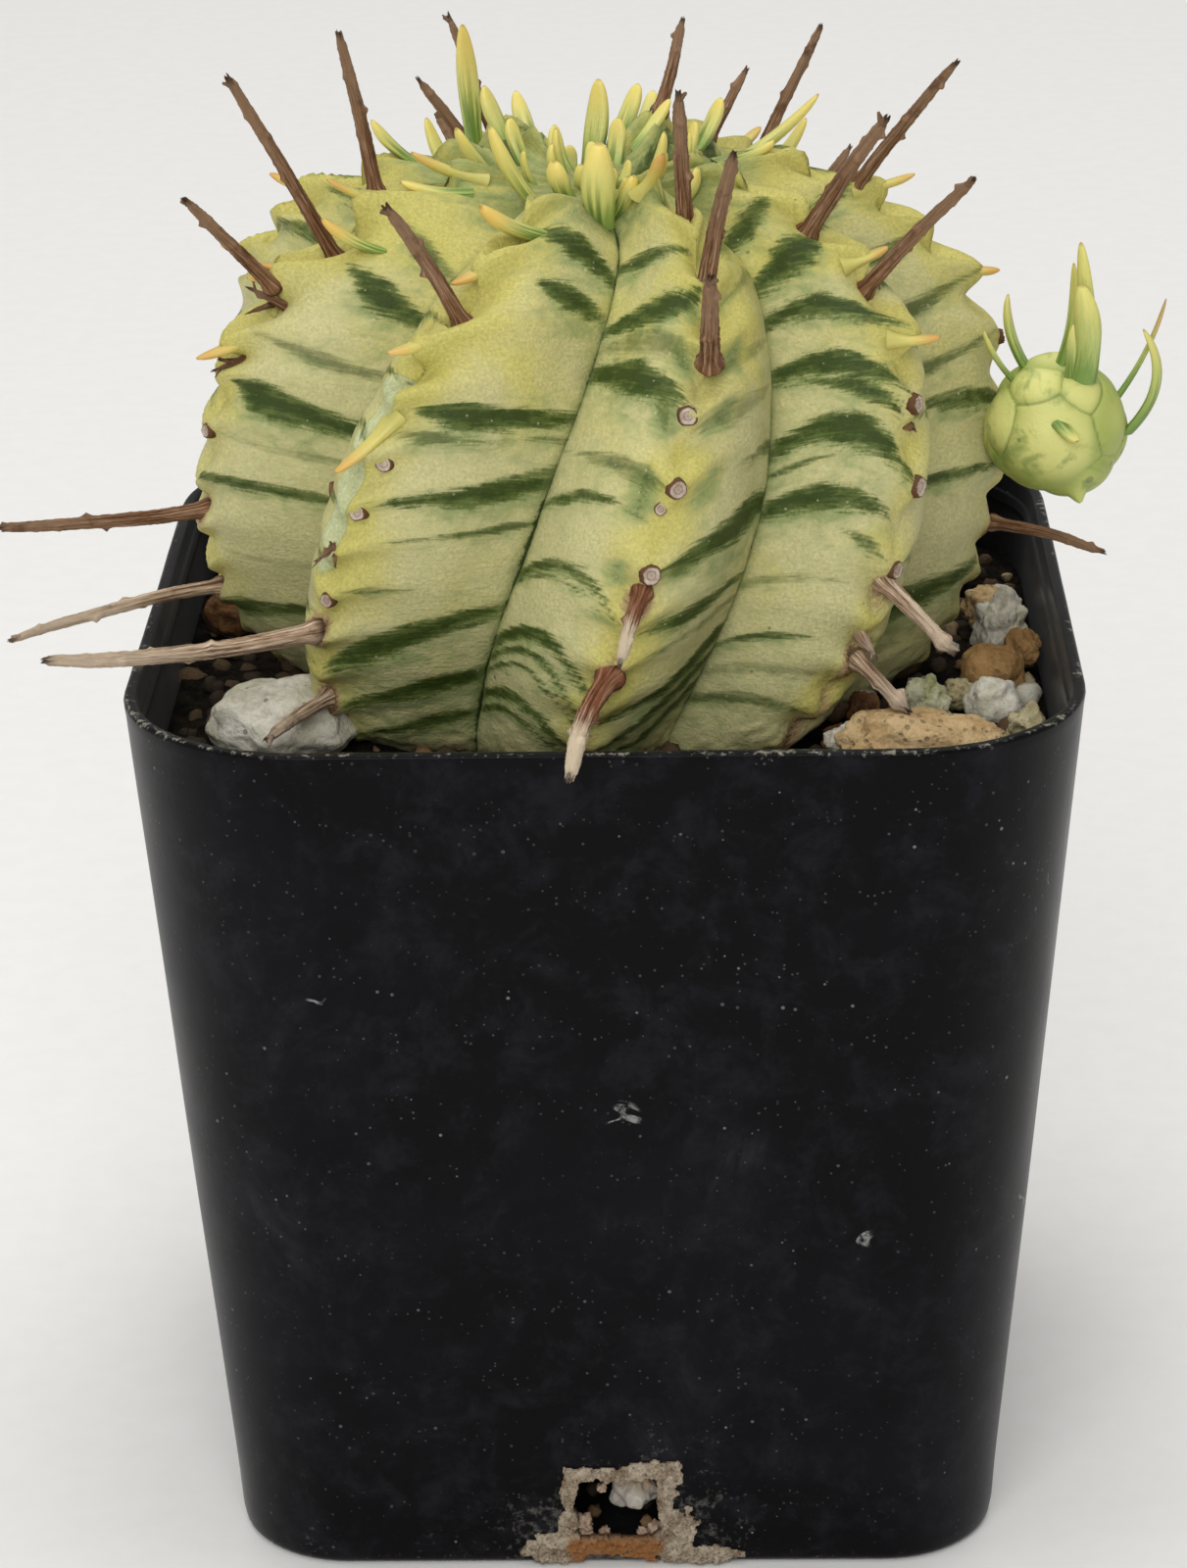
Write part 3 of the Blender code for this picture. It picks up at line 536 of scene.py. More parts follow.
def gravel_fines():
    material, shader, tree = new_material("gravel_fines", 0.9, 0.2)
    tone = tree.value("tone")
    grit = tree.group("Grit", Vector=tree.place(), Scale=1500.0, Pits=0.4)
    # The tone value also holds painted shade, lower towards the left side of the pot.
    colour = tree.tint((0.035, 0.025, 0.017), (0.2, 0.12, 0.06), tone, 0.0, 0.45)
    colour = tree.tint(colour, (0.46, 0.35, 0.2), tone, 0.45, 0.75)
    colour = tree.tint(colour, (0.6, 0.57, 0.48), tone, 0.75, 0.95)
    colour = tree.tint(colour, (0.05, 0.04, 0.025), grit["Tone"], 0.5, 0.3, 0.6)
    finish(tree, shader, colour, grit["Height"], 0.15 * MM)
    return material


def potting_mix():
    material, shader, tree = new_material("potting_mix", 0.95, 0.1)
    grit = tree.group("Grit", Vector=tree.place(), Scale=1400.0, Pits=0.8)
    # Painted shade: the mix's dark brown is deepened to near black for the shade inside the pot.
    colour = tree.tint((0.003, 0.0025, 0.002), (0.028, 0.02, 0.012), grit["Tone"], 0.4, 0.65)
    finish(tree, shader, colour, grit["Height"], 0.4 * MM)
    return material


def lime_crust():
    material, shader, tree = new_material("lime_crust", 0.92, 0.15)
    grit = tree.group("Grit", Vector=tree.place(), Scale=1700.0, Pits=0.5)
    colour = tree.tint((0.2, 0.14, 0.085), (0.55, 0.47, 0.36), grit["Tone"], 0.38, 0.62)
    rust = tree.plus(tree.value("rust"), tree.times(grit["Tone"], 0.6))
    colour = tree.tint(colour, (0.32, 0.13, 0.035), rust, 0.55, 1.1, 0.9)
    colour = tree.mix(grit["Pit"], colour, (0.02, 0.015, 0.012))
    finish(tree, shader, colour, grit["Height"], 0.2 * MM)
    return material


def pot_plastic():
    material, shader, tree = new_material("pot_plastic", 0.32, 0.08, sheen=0.055)
    place = tree.place()
    haze = tree.noise(place, 45.0, 6.0, 0.62, 0.4)
    smear = tree.noise(tree.stretch(place, (1, 1, 0.5)), 110.0, 5.0, 0.68, 1.2)
    fleck = tree.noise(place, 1600.0, 3.0, 0.7)
    leather = tree.noise(place, 220.0, 6.0, 0.75, 0.3)
    colour = tree.tint((0.0004, 0.0004, 0.001), (0.0028, 0.0028, 0.005), haze, 0.42, 0.7)
    colour = tree.tint(colour, (0.009, 0.009, 0.0125), leather, 0.45, 0.7, 0.8)
    dirty = tree.times(tree.remap(haze, 0.48, 0.7), tree.remap(smear, 0.5, 0.75))
    colour = tree.mix(tree.times(dirty, 0.12), colour, (0.13, 0.13, 0.14))
    # Dust: many fine specks, fewer large ones.
    dust = tree.math("MAXIMUM", tree.specks(place, 900.0, 0.3, 0.17), tree.specks(place, 330.0, 0.08, 0.1))
    dusty = tree.times(dust, tree.remap(smear, 0.38, 0.66, 0.1, 0.85))
    colour = tree.mix(dusty, colour, (0.22, 0.22, 0.22))
    fine = tree.times(tree.specks(place, 1900.0, 0.4, 0.27), tree.remap(smear, 0.35, 0.7, 0.08, 0.4))
    colour = tree.mix(fine, colour, (0.14, 0.14, 0.15))
    # Short curved scratches, each on its own.
    curve = tree.sway(tree.stretch(place, (0.7, 0.7, 1)), 230.0, 2.0, 0.5, 1.0)
    scratched = tree.times(tree.remap(tree.math("ABSOLUTE", curve), 0.03, 0.008),
                           tree.specks(place, 120.0, 0.35, 0.24))
    scratched = tree.times(scratched, tree.remap(fleck, 0.35, 0.6))
    colour = tree.mix(tree.times(scratched, 0.75), colour, (0.3, 0.3, 0.29))
    # Scuffs and a painted highlight along the edge of the rim, and lime washed down near the foot.
    chalk = tree.plus(tree.times(tree.minus(smear, 0.5), 1.6), tree.times(tree.minus(fleck, 0.5), 2.4))
    colour = tree.tint(colour, (0.32, 0.3, 0.24), tree.plus(tree.value("rim"), chalk), 0.7, 1.15, 0.75)
    colour = tree.tint(colour, (0.2, 0.19, 0.17), tree.plus(tree.value("lime"), chalk), 0.6, 1.4, 0.5)
    rough = tree.plus(tree.remap(haze, 0.3, 0.7, 0.28, 0.4), tree.times(dusty, 0.4))
    tree.feed(shader.inputs["Roughness"], rough)
    relief = tree.plus(tree.noise(place, 2600.0, 2.0), tree.times(tree.plus(scratched, dusty), 1.5))
    finish(tree, shader, colour, relief, 0.02 * MM, 0.5)
    return material


def floor_paper():
    material, shader, tree = new_material("floor_paper", 0.9, 0.1)
    tone = tree.noise(tree.place(), 300.0, 5.0, 0.6)
    finish(tree, shader, tree.tint((0.9, 0.89, 0.865), (0.92, 0.91, 0.89), tone, 0.3, 0.7))
    return material


# ---- the plant's skin ----


def through(stations, column, along):
    """A smooth curve through an outline's points, read at heights along the plant."""
    x = np.array([row[0] for row in stations], float)
    y = np.array([row[column] for row in stations], float)
    slope = np.gradient(y, x)
    i = np.clip(np.searchsorted(x, along) - 1, 0, len(x) - 2)
    step = x[i + 1] - x[i]
    s = (along - x[i]) / step
    return ((2 * s**3 - 3 * s**2 + 1) * y[i] + (s**3 - 2 * s**2 + s) * step * slope[i]
            + (3 * s**2 - 2 * s**3) * y[i + 1] + (s**3 - s**2) * step * slope[i + 1])


def crest_azimuth(index, along):
    middle, twist, bend = RIBS[RIB_NAMES[index % len(RIBS)]]
    up = along - 0.5
    return middle + twist * up + bend * up * up


def furrow_azimuth(index, along):
    first, second = crest_azimuth(index, along), crest_azimuth(index + 1, along)
    second = second + 360 * np.round((first - second) / 360)
    second = np.where(second < first, second + 360, second)
    return (first + second) / 2 + FURROW_LEAN[0] + FURROW_LEAN[1] * (along - 0.5)


def plant_points(index, across, along):
    """Points of rib number index, in metres: across from -1 to 1, furrow to furrow, along from 0 to 1."""
    across, along = np.broadcast_arrays(np.asarray(across, float), np.asarray(along, float))
    crest = crest_azimuth(index, along)
    side = np.where(across > 0, furrow_azimuth(index, along), furrow_azimuth(index - 1, along))
    side = side + 360 * np.round((crest - side) / 360)
    azimuth = np.radians(crest + (side - crest) * np.abs(across))
    e = CREST_SHARPNESS
    share = 1 - (np.hypot(across, e) - e) / (math.hypot(1, e) - e)
    radius = through(FURROW, 1, along) * (1 - share) + through(CREST, 1, along) * share
    height = through(FURROW, 2, along) * (1 - share) + through(CREST, 2, along) * share
    return np.stack([(PLANT_X + radius * np.sin(azimuth)) * MM, (PLANT_Y - radius * np.cos(azimuth)) * MM,
                     RIM + height * MM], -1)


def lumps(points, size, seed=0.0):
    """Smooth noise from -1 to 1 at each point, with features of about the given size in metres."""
    shift = Vector((seed, 0.37 * seed, 1.7 * seed))
    flat = np.asarray(points).reshape(-1, 3)
    values = [noise.noise(Vector(p) / size + shift) for p in flat]
    return np.array(values).reshape(np.asarray(points).shape[:-1])


def tilt_of(across):
    """How far a tubercle's fold rises from the crest towards the furrow, as a share of the crest."""
    return 0.05 * (1 - np.exp(-np.abs(across) / 0.3))


def peak_count(index, along):
    """Counts a rib's tubercles up to each height: they sit under its scars and small leaves."""
    name = RIB_NAMES[index]
    places = sorted([row[1] for row in SCARS if row[0] == name and row[3] > 0.65]
                    + [row[1] for row in SMALL_LEAVES if row[0] == name])
    peaks = places[:1]
    for place in places[1:]:
        gap = place - peaks[-1]
        if gap < 0.045:
            continue
        parts = max(1, round(gap / TUBERCLE_STEP))
        peaks += [peaks[-1] + gap * (i + 1) / parts for i in range(parts)]
    below = [peaks[0] - TUBERCLE_STEP * i for i in range(14, 0, -1)]
    above = [peaks[-1] + 0.9 * TUBERCLE_STEP * i for i in range(1, 8)]
    peaks = below + peaks + above
    return np.interp(along, peaks, np.arange(len(peaks)))


def bands_of(index, side):
    """The bands on one side of a rib: those listed, or a pattern like them."""
    listed = BANDS.get((RIB_NAMES[index], side))
    if listed:
        return listed
    chance = np.random.default_rng(41 + 2 * index + side)
    found = []
    for place in np.arange(0.17, 0.95, 0.083):
        crest = place + chance.uniform(-0.012, 0.012)
        middle = crest + chance.uniform(0.02, 0.06)
        furrow = middle + chance.uniform(-0.02, 0.025)
        found.append((crest, middle, furrow, chance.uniform(0.014, 0.034), chance.uniform(0.7, 1)))
    return found


def band_field(index, across, along):
    """How deep inside a band each point lies (1 on its middle line, 0 at its edge), its strength,
    and the haze just below each band."""
    a = np.abs(across)
    depth, strength, below = np.full(a.shape, OUTSIDE), np.zeros(a.shape), np.zeros(a.shape)
    for side in (-1, 1):
        right_side = (across > 0) == (side > 0)
        for row in bands_of(index, side):
            power, width = row[4], row[3]
            start, end, thickest = row[5:] or WHOLE_FLANK
            line = np.polynomial.Polynomial.fit(BAND_STATIONS, row[:3], 2)
            away = (along - line(a)) / np.hypot(1, BAND_STEEPNESS * line.deriv()(a))
            reach = np.where(a < thickest, (a - start) / (thickest - start), (end - a) / (end - thickest))
            swell = np.sign(reach) * np.clip(np.abs(reach), 0, 1) ** 0.8
            # A band is a little thicker below its middle line than above it.
            half_width = 0.5 * width * np.where(away > 0, 1, 1.3)
            near = (swell - np.abs(away) / half_width) * math.sqrt(width / 0.02)
            near = np.where(right_side, near, OUTSIDE)
            strength = np.where(near > depth, power, strength)
            depth = np.maximum(depth, near)
            fog = power * np.clip(swell, 0, 1) * bell(away, 1.6 * width)
            below = np.maximum(below, fog * (away < 0) * right_side)
    return np.maximum(depth, OUTSIDE), strength, below


def add_plant(material):
    steps, rows, ribs = 50, 224, range(len(RIBS))
    across = 2 * np.arange(steps) / steps - 1
    s, t = np.meshgrid(across, np.linspace(0, 0.988, rows))
    skin = np.concatenate([plant_points(index, s, t) for index in ribs], 1)
    s_all, t_all = np.tile(s, (1, len(RIBS))), np.tile(t, (1, len(RIBS)))
    rib = np.repeat(np.arange(len(RIBS)), steps)[None, :] + 0 * s_all
    on_rib = {name: rib == RIB_NAMES.index(name) for name in ("front", "front_left", "front_right")}
    a = np.abs(s_all)
    normal = np.cross(np.roll(skin, -1, 1) - np.roll(skin, 1, 1), np.gradient(skin, axis=0))
    normal /= np.linalg.norm(normal, axis=2, keepdims=True) + 1e-12
    # Tubercles on each crest, sharper towards the top, and the soft folds that run down from them, in mm.
    turn = np.concatenate([peak_count(index, t - tilt_of(s)) for index in ribs], 1)
    wave = 0.5 + 0.5 * np.cos(2 * np.pi * turn)
    uneven = lumps(skin, 7 * MM, 3.1)
    upper, low = smooth(t_all, 0.5, 0.8), 1 - smooth(t_all, 0.1, 0.38)
    tooth = (0.95 + 1.35 * upper) * (wave ** (1.4 + 0.8 * upper) - 0.42 - 0.2 * upper) * (1 + 0.5 * uneven)
    fold = (0.26 + 0.3 * upper) * (wave - 0.5)
    raised = tooth * bell(a, 0.17) + fold * bell(a, 0.5)
    raised *= smooth(t_all, 0.08, 0.2) * (1 - smooth(t_all, 0.95, 0.985))
    # Full flanks, a softened furrow with a fine crease in it, and small lumps.
    raised += 0.4 * np.sin(np.pi * a) ** 2 * smooth(t_all, 0.0, 0.3) * (1 - smooth(t_all, 0.75, 0.95))
    raised += (0.6 * bell(1 - a, 0.2) - 0.3 * bell(1 - a, 0.05)) * (1 - smooth(t_all, 0.85, 0.97))
    raised += 0.2 * uneven + 0.1 * lumps(skin, 2.2 * MM, 9.0)
    stretched = np.stack([s_all * 0.02, t_all * PLANT_LENGTH * MM, rib * 0.05], -1)
    raised += 0.3 * low * lumps(stretched, 1.3 * MM, 5.0)
    skin = skin + normal * (raised * MM)[..., None]

    def nearness(point):
        return np.exp(-np.sum((skin - point) ** 2, -1) / (1.5 * MM) ** 2)

    # The skin is drawn out into a cone under each small leaf.
    for name, height, length, rise, swing in SMALL_LEAVES:
        base, way = np.array(on_crest(name, height)), np.array(outward(name, height, rise, swing))
        skin = skin + (0.55 * length * MM * nearness(base) ** 1.5)[..., None] * way
    fields = zip(*(band_field(index, s, t) for index in ribs))
    band, strength, below = (np.concatenate(field, 1) for field in fields)
    warm = 0.6 * bell(a, 0.28) + 0.5 * smooth(t_all, 0.55, 0.95)
    haze = 0.15 * a**2 - 0.15 * bell(a, 0.14) + 0.75 * below + 0.2 * np.clip(1 + 0.5 * band, 0, 1) * strength
    haze += 0.3 * (1 - smooth(t_all, 0.1, 0.4)) + 0.8 * smooth(t_all, 0.89, 0.95)
    # Dark mottling beside the front rib's tubercles, and the pale strip on its left neighbour.
    beside = bell(a, 0.1, 0.2) * (0.5 - 0.5 * np.cos(2 * np.pi * (turn - 0.15)))
    haze += 1.1 * on_rib["front"] * beside * smooth(t_all, 0.35, 0.5) * (1 - smooth(t_all, 0.75, 0.85))
    mint = (on_rib["front_left"] * np.exp(-(((s_all + 0.09) / 0.12) ** 4))
            * smooth(t_all, 0.42, 0.48) * (1 - smooth(t_all, 0.69, 0.72)))
    cork = bell(a, 0.13) * (0.35 + 0.5 * low) + 0.35 * low * on_rib["front_right"] * (1 - a)
    cork *= 1 - smooth(t_all, 0.55, 0.8)
    # Bark-brown skin round the foot of each stalk, more of it low down.
    for node in nodes_called("peduncle"):
        foot = np.array(cad_axis(node)[0])
        cork += (0.55 if foot[2] > RIM + 12 * MM else 1.1) * nearness(foot)
    flow = np.stack([s_all * 16, (t_all - tilt_of(s_all)) * PLANT_LENGTH, rib * 40], -1)
    # The tap root below, which the mix hides.
    centre = np.array([PLANT_X * MM, PLANT_Y * MM])
    root = []
    for radius, height in ROOT:
        away = skin[0, :, :2] - centre
        away = away / np.linalg.norm(away, axis=1, keepdims=True) * radius * MM
        root.append(np.column_stack([centre + away, np.full(len(away), RIM + height * MM)]))
    vertices, faces = closed_grid(np.concatenate([np.array(root), skin], 0))
    vertices[0] = (*centre, RIM + ROOT_TIP * MM)

    def spread(values, fill=0.0):
        """The values of the skin's rows, with the same fill on the root, for each vertex."""
        rest = np.full((len(ROOT),) + values.shape[1:], fill)
        flat = np.concatenate([rest, values], 0).reshape(-1, *values.shape[2:])
        return np.concatenate([flat[:1], flat, flat[-1:]], 0)

    # The lowest rows of skin get a value for painted shade, strongest at the mix.
    attributes = {
        "band": spread(band, OUTSIDE), "band_strength": spread(strength), "warm": spread(warm),
        "haze": spread(haze), "furrow": spread(11 * (1 - a)), "cork": spread(cork),
        "soiled": spread(1 - smooth(t_all, 0.1, 0.22), 1), "flow": spread(flow), "mint": spread(mint),
    }
    add_mesh("plant_skin", vertices, faces, material, ("plant_body",), attributes)
    return surface(vertices, faces)


# ---- stalks, leaves and scars ----


def nodes_called(start):
    return sorted(node for node in frame["nodes"] if node.startswith(start))


def cad_points(node):
    return np.array([vertex.co for vertex in bpy.data.objects[node].data.vertices])


def cad_axis(node):
    """The foot and the tip of a slender CAD node: the middle of its wide end, and its point."""
    points = cad_points(node)
    middle = points.mean(0)
    direction = np.linalg.svd(points - middle)[2][0]
    reach = (points - middle) @ direction
    ends = []
    for sign in (-1, 1):
        far = points[sign * reach > 0.96 * (sign * reach).max()]
        ends.append((np.linalg.norm(far - far.mean(0), axis=1).max() if len(far) > 1 else 0, far.mean(0)))
    ends.sort(key=lambda end: -end[0])
    return Vector(ends[0][1]), Vector(ends[1][1])


def rooted(skin, foot, tip, depth=0.5 * MM):
    """The foot moved back along the stalk until it is inside the skin."""
    back = (foot - tip).normalized()
    hit = skin.ray_cast(foot, back, 6 * MM)[0]
    if hit is None:
        hit = skin.find_nearest(foot)[0]
    return hit + back * depth


def frame_along(line):
    aside = line.cross(Vector((0, 0, 1)))
    if aside.length < 0.05 * line.length:
        aside = line.cross(Vector((0, 1, 0)))
    aside.normalize()
    return aside, aside.cross(line).normalized()


def tube(centres, aside, over, radii):
    """Rings round a centre line, with a radius for each ring and each side."""
    sides = radii.shape[1]
    angle = 2 * np.pi * np.arange(sides) / sides
    around = np.cos(angle)[:, None] * np.array(aside) + np.sin(angle)[:, None] * np.array(over)
    return centres[:, None, :] + radii[..., None] * around[None]


def round_grain(angle, along, girth, start):
    """Coordinates for a streaky grain: round a stalk or leaf, and along it in mm."""
    rings = np.stack([np.cos(angle)[None] * girth + 0 * along, np.sin(angle)[None] * girth + 0 * along,
                      along + start], -1)
    return np.concatenate([rings[:1, 0], rings.reshape(-1, 3), rings[-1:, 0]])


def add_stalk(name, foot, tip, radius, material, replaced=(), bend=(0, 0), seed=0, fork=0, rows=70,
              knob=0.0):
    """A dry stalk in metres: a flared foot, fibre ridges, bract nubs, a frayed end and prongs."""
    sides = 22
    chance = np.random.default_rng(1000 + seed)
    line = tip - foot
    length = line.length
    way = np.array(line) / length
    aside, over = frame_along(line)
    share = np.linspace(0, 1, rows)
    from_foot, from_tip = share * length / MM, (1 - share) * length / MM
    # The centre line bows and wanders a little.
    wander = [chance.uniform(-1, 1, 3) for _ in range(2)]
    shift = [bend[k] * 4 * share * (1 - share)
             + 0.012 * share * (wander[k][0] * np.sin(3 * share + wander[k][1])
                                + 0.5 * wander[k][2] * np.sin(9 * share))
             for k in range(2)]
    centres = (np.array(foot) + share[:, None] * np.array(line)
               + length * (shift[0][:, None] * np.array(aside) + shift[1][:, None] * np.array(over)))
    girth = 0.9 - 0.34 * share**0.75 + 0.34 * bell(from_foot, 0.55, 0.6)
    girth += knob * bell(from_tip, 0.6, 0.9) - 0.1 * smooth(share, 0.75, 1.0)
    angle = 2 * np.pi * np.arange(sides) / sides
    radii = np.repeat(girth[:, None], sides, 1)
    twist = angle[None] + 1.5 * share[:, None]
    radii += 0.035 * np.sin(5 * twist + chance.uniform(0, 6)) + 0.03 * np.sin(9 * twist + chance.uniform(0,
    6))
    radii += chance.normal(0, 0.02, radii.shape)
    # Bract nubs, one after another up the stalk, each on a slight collar.
    place, turn = chance.uniform(0.38, 0.5), chance.uniform(0, 6.28)
    while place < 0.97:
        turn += 2.4
        off = np.angle(np.exp(1j * (angle - turn)))
        past = (from_foot - place * length / MM)[:, None]
        radii += chance.uniform(0.12, 0.42) * MM / radius * bell(past, 0.3) * bell(off, 0.45)[None]
        radii += 0.05 * bell(past, 0.2)
        place += chance.uniform(1.2, 3.0) * MM / length
    last = smooth(share, 1 - 0.9 * MM / length, 1)[:, None]
    radii *= 1 - last * (0.25 + 0.5 * chance.random(sides)[None])
    rings = tube(centres, aside, over, radii * radius)
    rings[-3:] += way * chance.uniform(-0.3, 0.5, (3, sides, 1)) * MM
    along = np.repeat(share[:, None], sides, 1)
    vertices, faces = closed_grid(rings)
    grain = round_grain(angle, along * length / MM, 1.2, seed * 7.0)
    along = capped(along, 0, 1)
    for _ in range(fork):
        out = way * chance.uniform(0.5, 1.0)
        out = out + np.array(aside) * chance.uniform(-0.9, 0.9) + np.array(over) * chance.uniform(-0.9, 0.9)
        out = out / np.linalg.norm(out) * chance.uniform(0.6, 1.1) * MM
        steps = np.linspace(0, 1, 7)[:, None]
        thin = 0.42 * (1 - 0.7 * steps) * (1 + 0.1 * chance.normal(0, 1, (7, 8))) * radius
        more, joined = closed_grid(tube(centres[-4] + steps * out, *frame_along(Vector(out)), thin))
        faces += [tuple(i + len(vertices) for i in face) for face in joined]
        vertices = np.vstack([vertices, more])
        along = np.concatenate([along, np.full(len(more), 0.98)])
        grain = np.concatenate([grain, more / MM])
    add_mesh(name, vertices, faces, material, replaced, {"along": along, "grain": grain})


def add_leaf(name, foot, tip, width, material, replaced=(), bow=0.06, aged=0.0, seed=0, aside_bend=0.0,
             foot_width=0.8):
    """A fleshy leaf: narrow foot, full middle, blunt tip, and a shallow channel on top."""
    rows, sides, thick = 26, 20, 0.72
    chance = np.random.default_rng(500 + seed)
    line = tip - foot
    length = line.length
    aside, over = (np.array(way) for way in frame_along(line))
    share = 0.5 - 0.5 * np.cos(np.pi * np.linspace(0, 1, rows))
    full = foot_width + (1 - foot_width) * np.sin(np.pi * np.minimum(0.5, share))
    full = full * np.sqrt(np.clip(1 - np.clip(2 * share - 1, 0, 1) ** 2.3, 0.0009, 1))
    lean = chance.uniform(-0.03, 0.03)
    bulge = lean * aside - bow * over + np.array([aside_bend, 0, 0])
    arch = 4 * share * (1 - share)
    centres = np.array(foot) + share[:, None] * np.array(line) + length * arch[:, None] * bulge
    angle = 2 * np.pi * np.arange(sides) / sides
    channel = 1 - 0.3 * (np.sin(angle) > 0) * np.sin(angle) ** 2
    section = np.cos(angle)[:, None] * aside + (thick * channel * np.sin(angle))[:, None] * over
    size = 0.5 * width * full * (1 + 0.05 * np.sin(7 * share + chance.uniform(0, 6)))
    vertices, faces = closed_grid(centres[:, None] + size[:, None, None] * section[None])
    along = np.repeat(share[:, None], sides, 1)
    attributes = {"along": capped(along, 0, 1), "aged": np.full(len(vertices), aged),
                  "grain": round_grain(angle, along * length / MM, 1.1, 11.0 * seed)}
    add_mesh(name, vertices, faces, material, replaced, attributes)


def on_crest(rib, along, across=0.0):
    return Vector(plant_points(RIB_NAMES.index(rib), across, along))


def outward(rib, along, rise, swing=0.0):
    azimuth = math.radians(crest_azimuth(RIB_NAMES.index(rib), along) + swing)
    lift = math.radians(rise)
    return Vector((math.sin(azimuth) * math.cos(lift), -math.cos(azimuth) * math.cos(lift), math.sin(lift)))


# How each stalk differs: bend aside and bend over (shares of its length), prongs at its end.
STALK_SHAPES = {
    "left_3": (0.01, 0.0, 2), "left_4": (0, -0.02, 2), "left_5": (0, 0.03, 1),
    "front_left_1": (0, 0.015, 2), "front_left_2": (0.0, -0.035, 0), "front_left_3": (0, 0.03, 1),
    "front_3": (0.01, -0.02, 1), "front_5": (0.05, 0.03, 0),
    "front_right_1": (0, 0.01, 2), "front_right_2": (0, 0.01, 3), "right_2": (0, 0.03, 0),
    "back_2": (0, 0, 2),
}
HALF_DRY_STALKS = ("front_4", "front_5")
KNOBBED_STALKS = ("front_right_3", "front_right_4")


def add_stalks(skin, dry, bleached, half_dry):
    slots = {part["node"]: part["material_slot"] for part in frame["record"]["subparts"]}
    for seed, node in enumerate(nodes_called("peduncle")):
        foot, tip = cad_axis(node)
        off = cad_points(node) - np.array(foot)
        way = np.array(tip - foot) / (tip - foot).length
        radius = np.linalg.norm(off - np.outer(off @ way, way), axis=1).max()
        place = node.removeprefix("peduncle_")
        aside, over, fork = STALK_SHAPES.get(place, (0.01, 0.01, seed % 2))
        material = bleached if slots[node].endswith("bleached") else dry
        add_stalk("stalk_" + place, rooted(skin, foot, tip), tip, radius,
                  half_dry if place in HALF_DRY_STALKS else material, (node,), (aside, over),
                  seed, fork,
                  knob=0.35 if place in KNOBBED_STALKS else 0.0)
    for seed, (*place, length, rise, swing, radius) in enumerate(REAR_STALKS):
        base = on_crest(*place)
        tip = base + outward(*place, rise, swing) * length * MM
        add_stalk(f"rear_stalk_{seed + 1}", rooted(skin, base, tip), tip, radius * MM, dry,
                  bend=(0.01, 0.02), seed=60 + seed, fork=seed % 3)
    for seed, (*place, length, rise, swing, radius) in enumerate(DEAD_STUBS):
        base = on_crest(*place)
        tip = base + outward(*place, rise, swing) * (0.75 * length) * MM
        pale = place[0] == "front_right" and length > 2
        add_stalk(f"dead_stub_{seed + 1}", rooted(skin, base, tip), tip, radius * MM,
                  bleached if pale else dry,
                  seed=90 + seed, fork=1, rows=24)


# The width in mm and the age, from 0 to 1, of each crown leaf that has a CAD node.
CROWN_LEAVES = {
    "leaf_left_1": (1.6, 0.1), "leaf_left_2": (1.45, 0.9), "leaf_left_3": (1.5, 0.1),
    "leaf_front_left_1": (1.9, 0.1), "leaf_front_left_2": (2.1, 0.8), "leaf_front_1": (2.6, 0.1),
    "leaf_front_right_1": (1.3, 0.6), "leaf_right_1": (1.55, 0.1), "leaf_centre_1": (1.6, 0.1),
    "leaf_back_1": (2.0, 0.1), "leaf_back_left_1": (1.8, 0.35), "leaf_back_right_1": (1.3, 0.1),
    "leaf_back_right_2": (1.55, 0.1),
}
# Crown leaves with no CAD node: where each stands (x, y), its tip (x, y, height above the rim) and its width.
INNER_LEAVES = [
    ((-7.9, 10.8), (-9.8, 11.8, 39.3), 1.8), ((-3, 3.3), (-3.7, 3.3, 37.8), 1.3),
    ((-2.8, -6.5), (-3.6, -7.6, 37.9), 1.9), ((1.1, 12), (2.8, 14, 38.8), 1.8),
    ((10.7, 3.3), (13.8, 2.3, 36.8), 1.4), ((-10.9, -5.6), (-15.7, -6.6, 36.1), 1.4),
    ((-6.5, 7), (-7.6, 8, 37.5), 1.5), ((5.5, 7), (7.5, 8.5, 37), 1.5), ((0.8, 5.5), (1.2, 6.5, 37.8), 1.6),
    ((-12, 9), (-14.5, 10.5, 37), 1.5), ((1.5, -6), (2.6, -7.2, 36.6), 1.5), ((13, 9), (16.5, 11, 36.5), 1.4),
    ((3, 16), (4, 19, 37), 1.5), ((-6, 16), (-7.5, 19.5, 37), 1.5),
]
YOUNG_LEAVES = 15
GOLDEN_ANGLE = 2.39996  # radians between one young leaf and the next


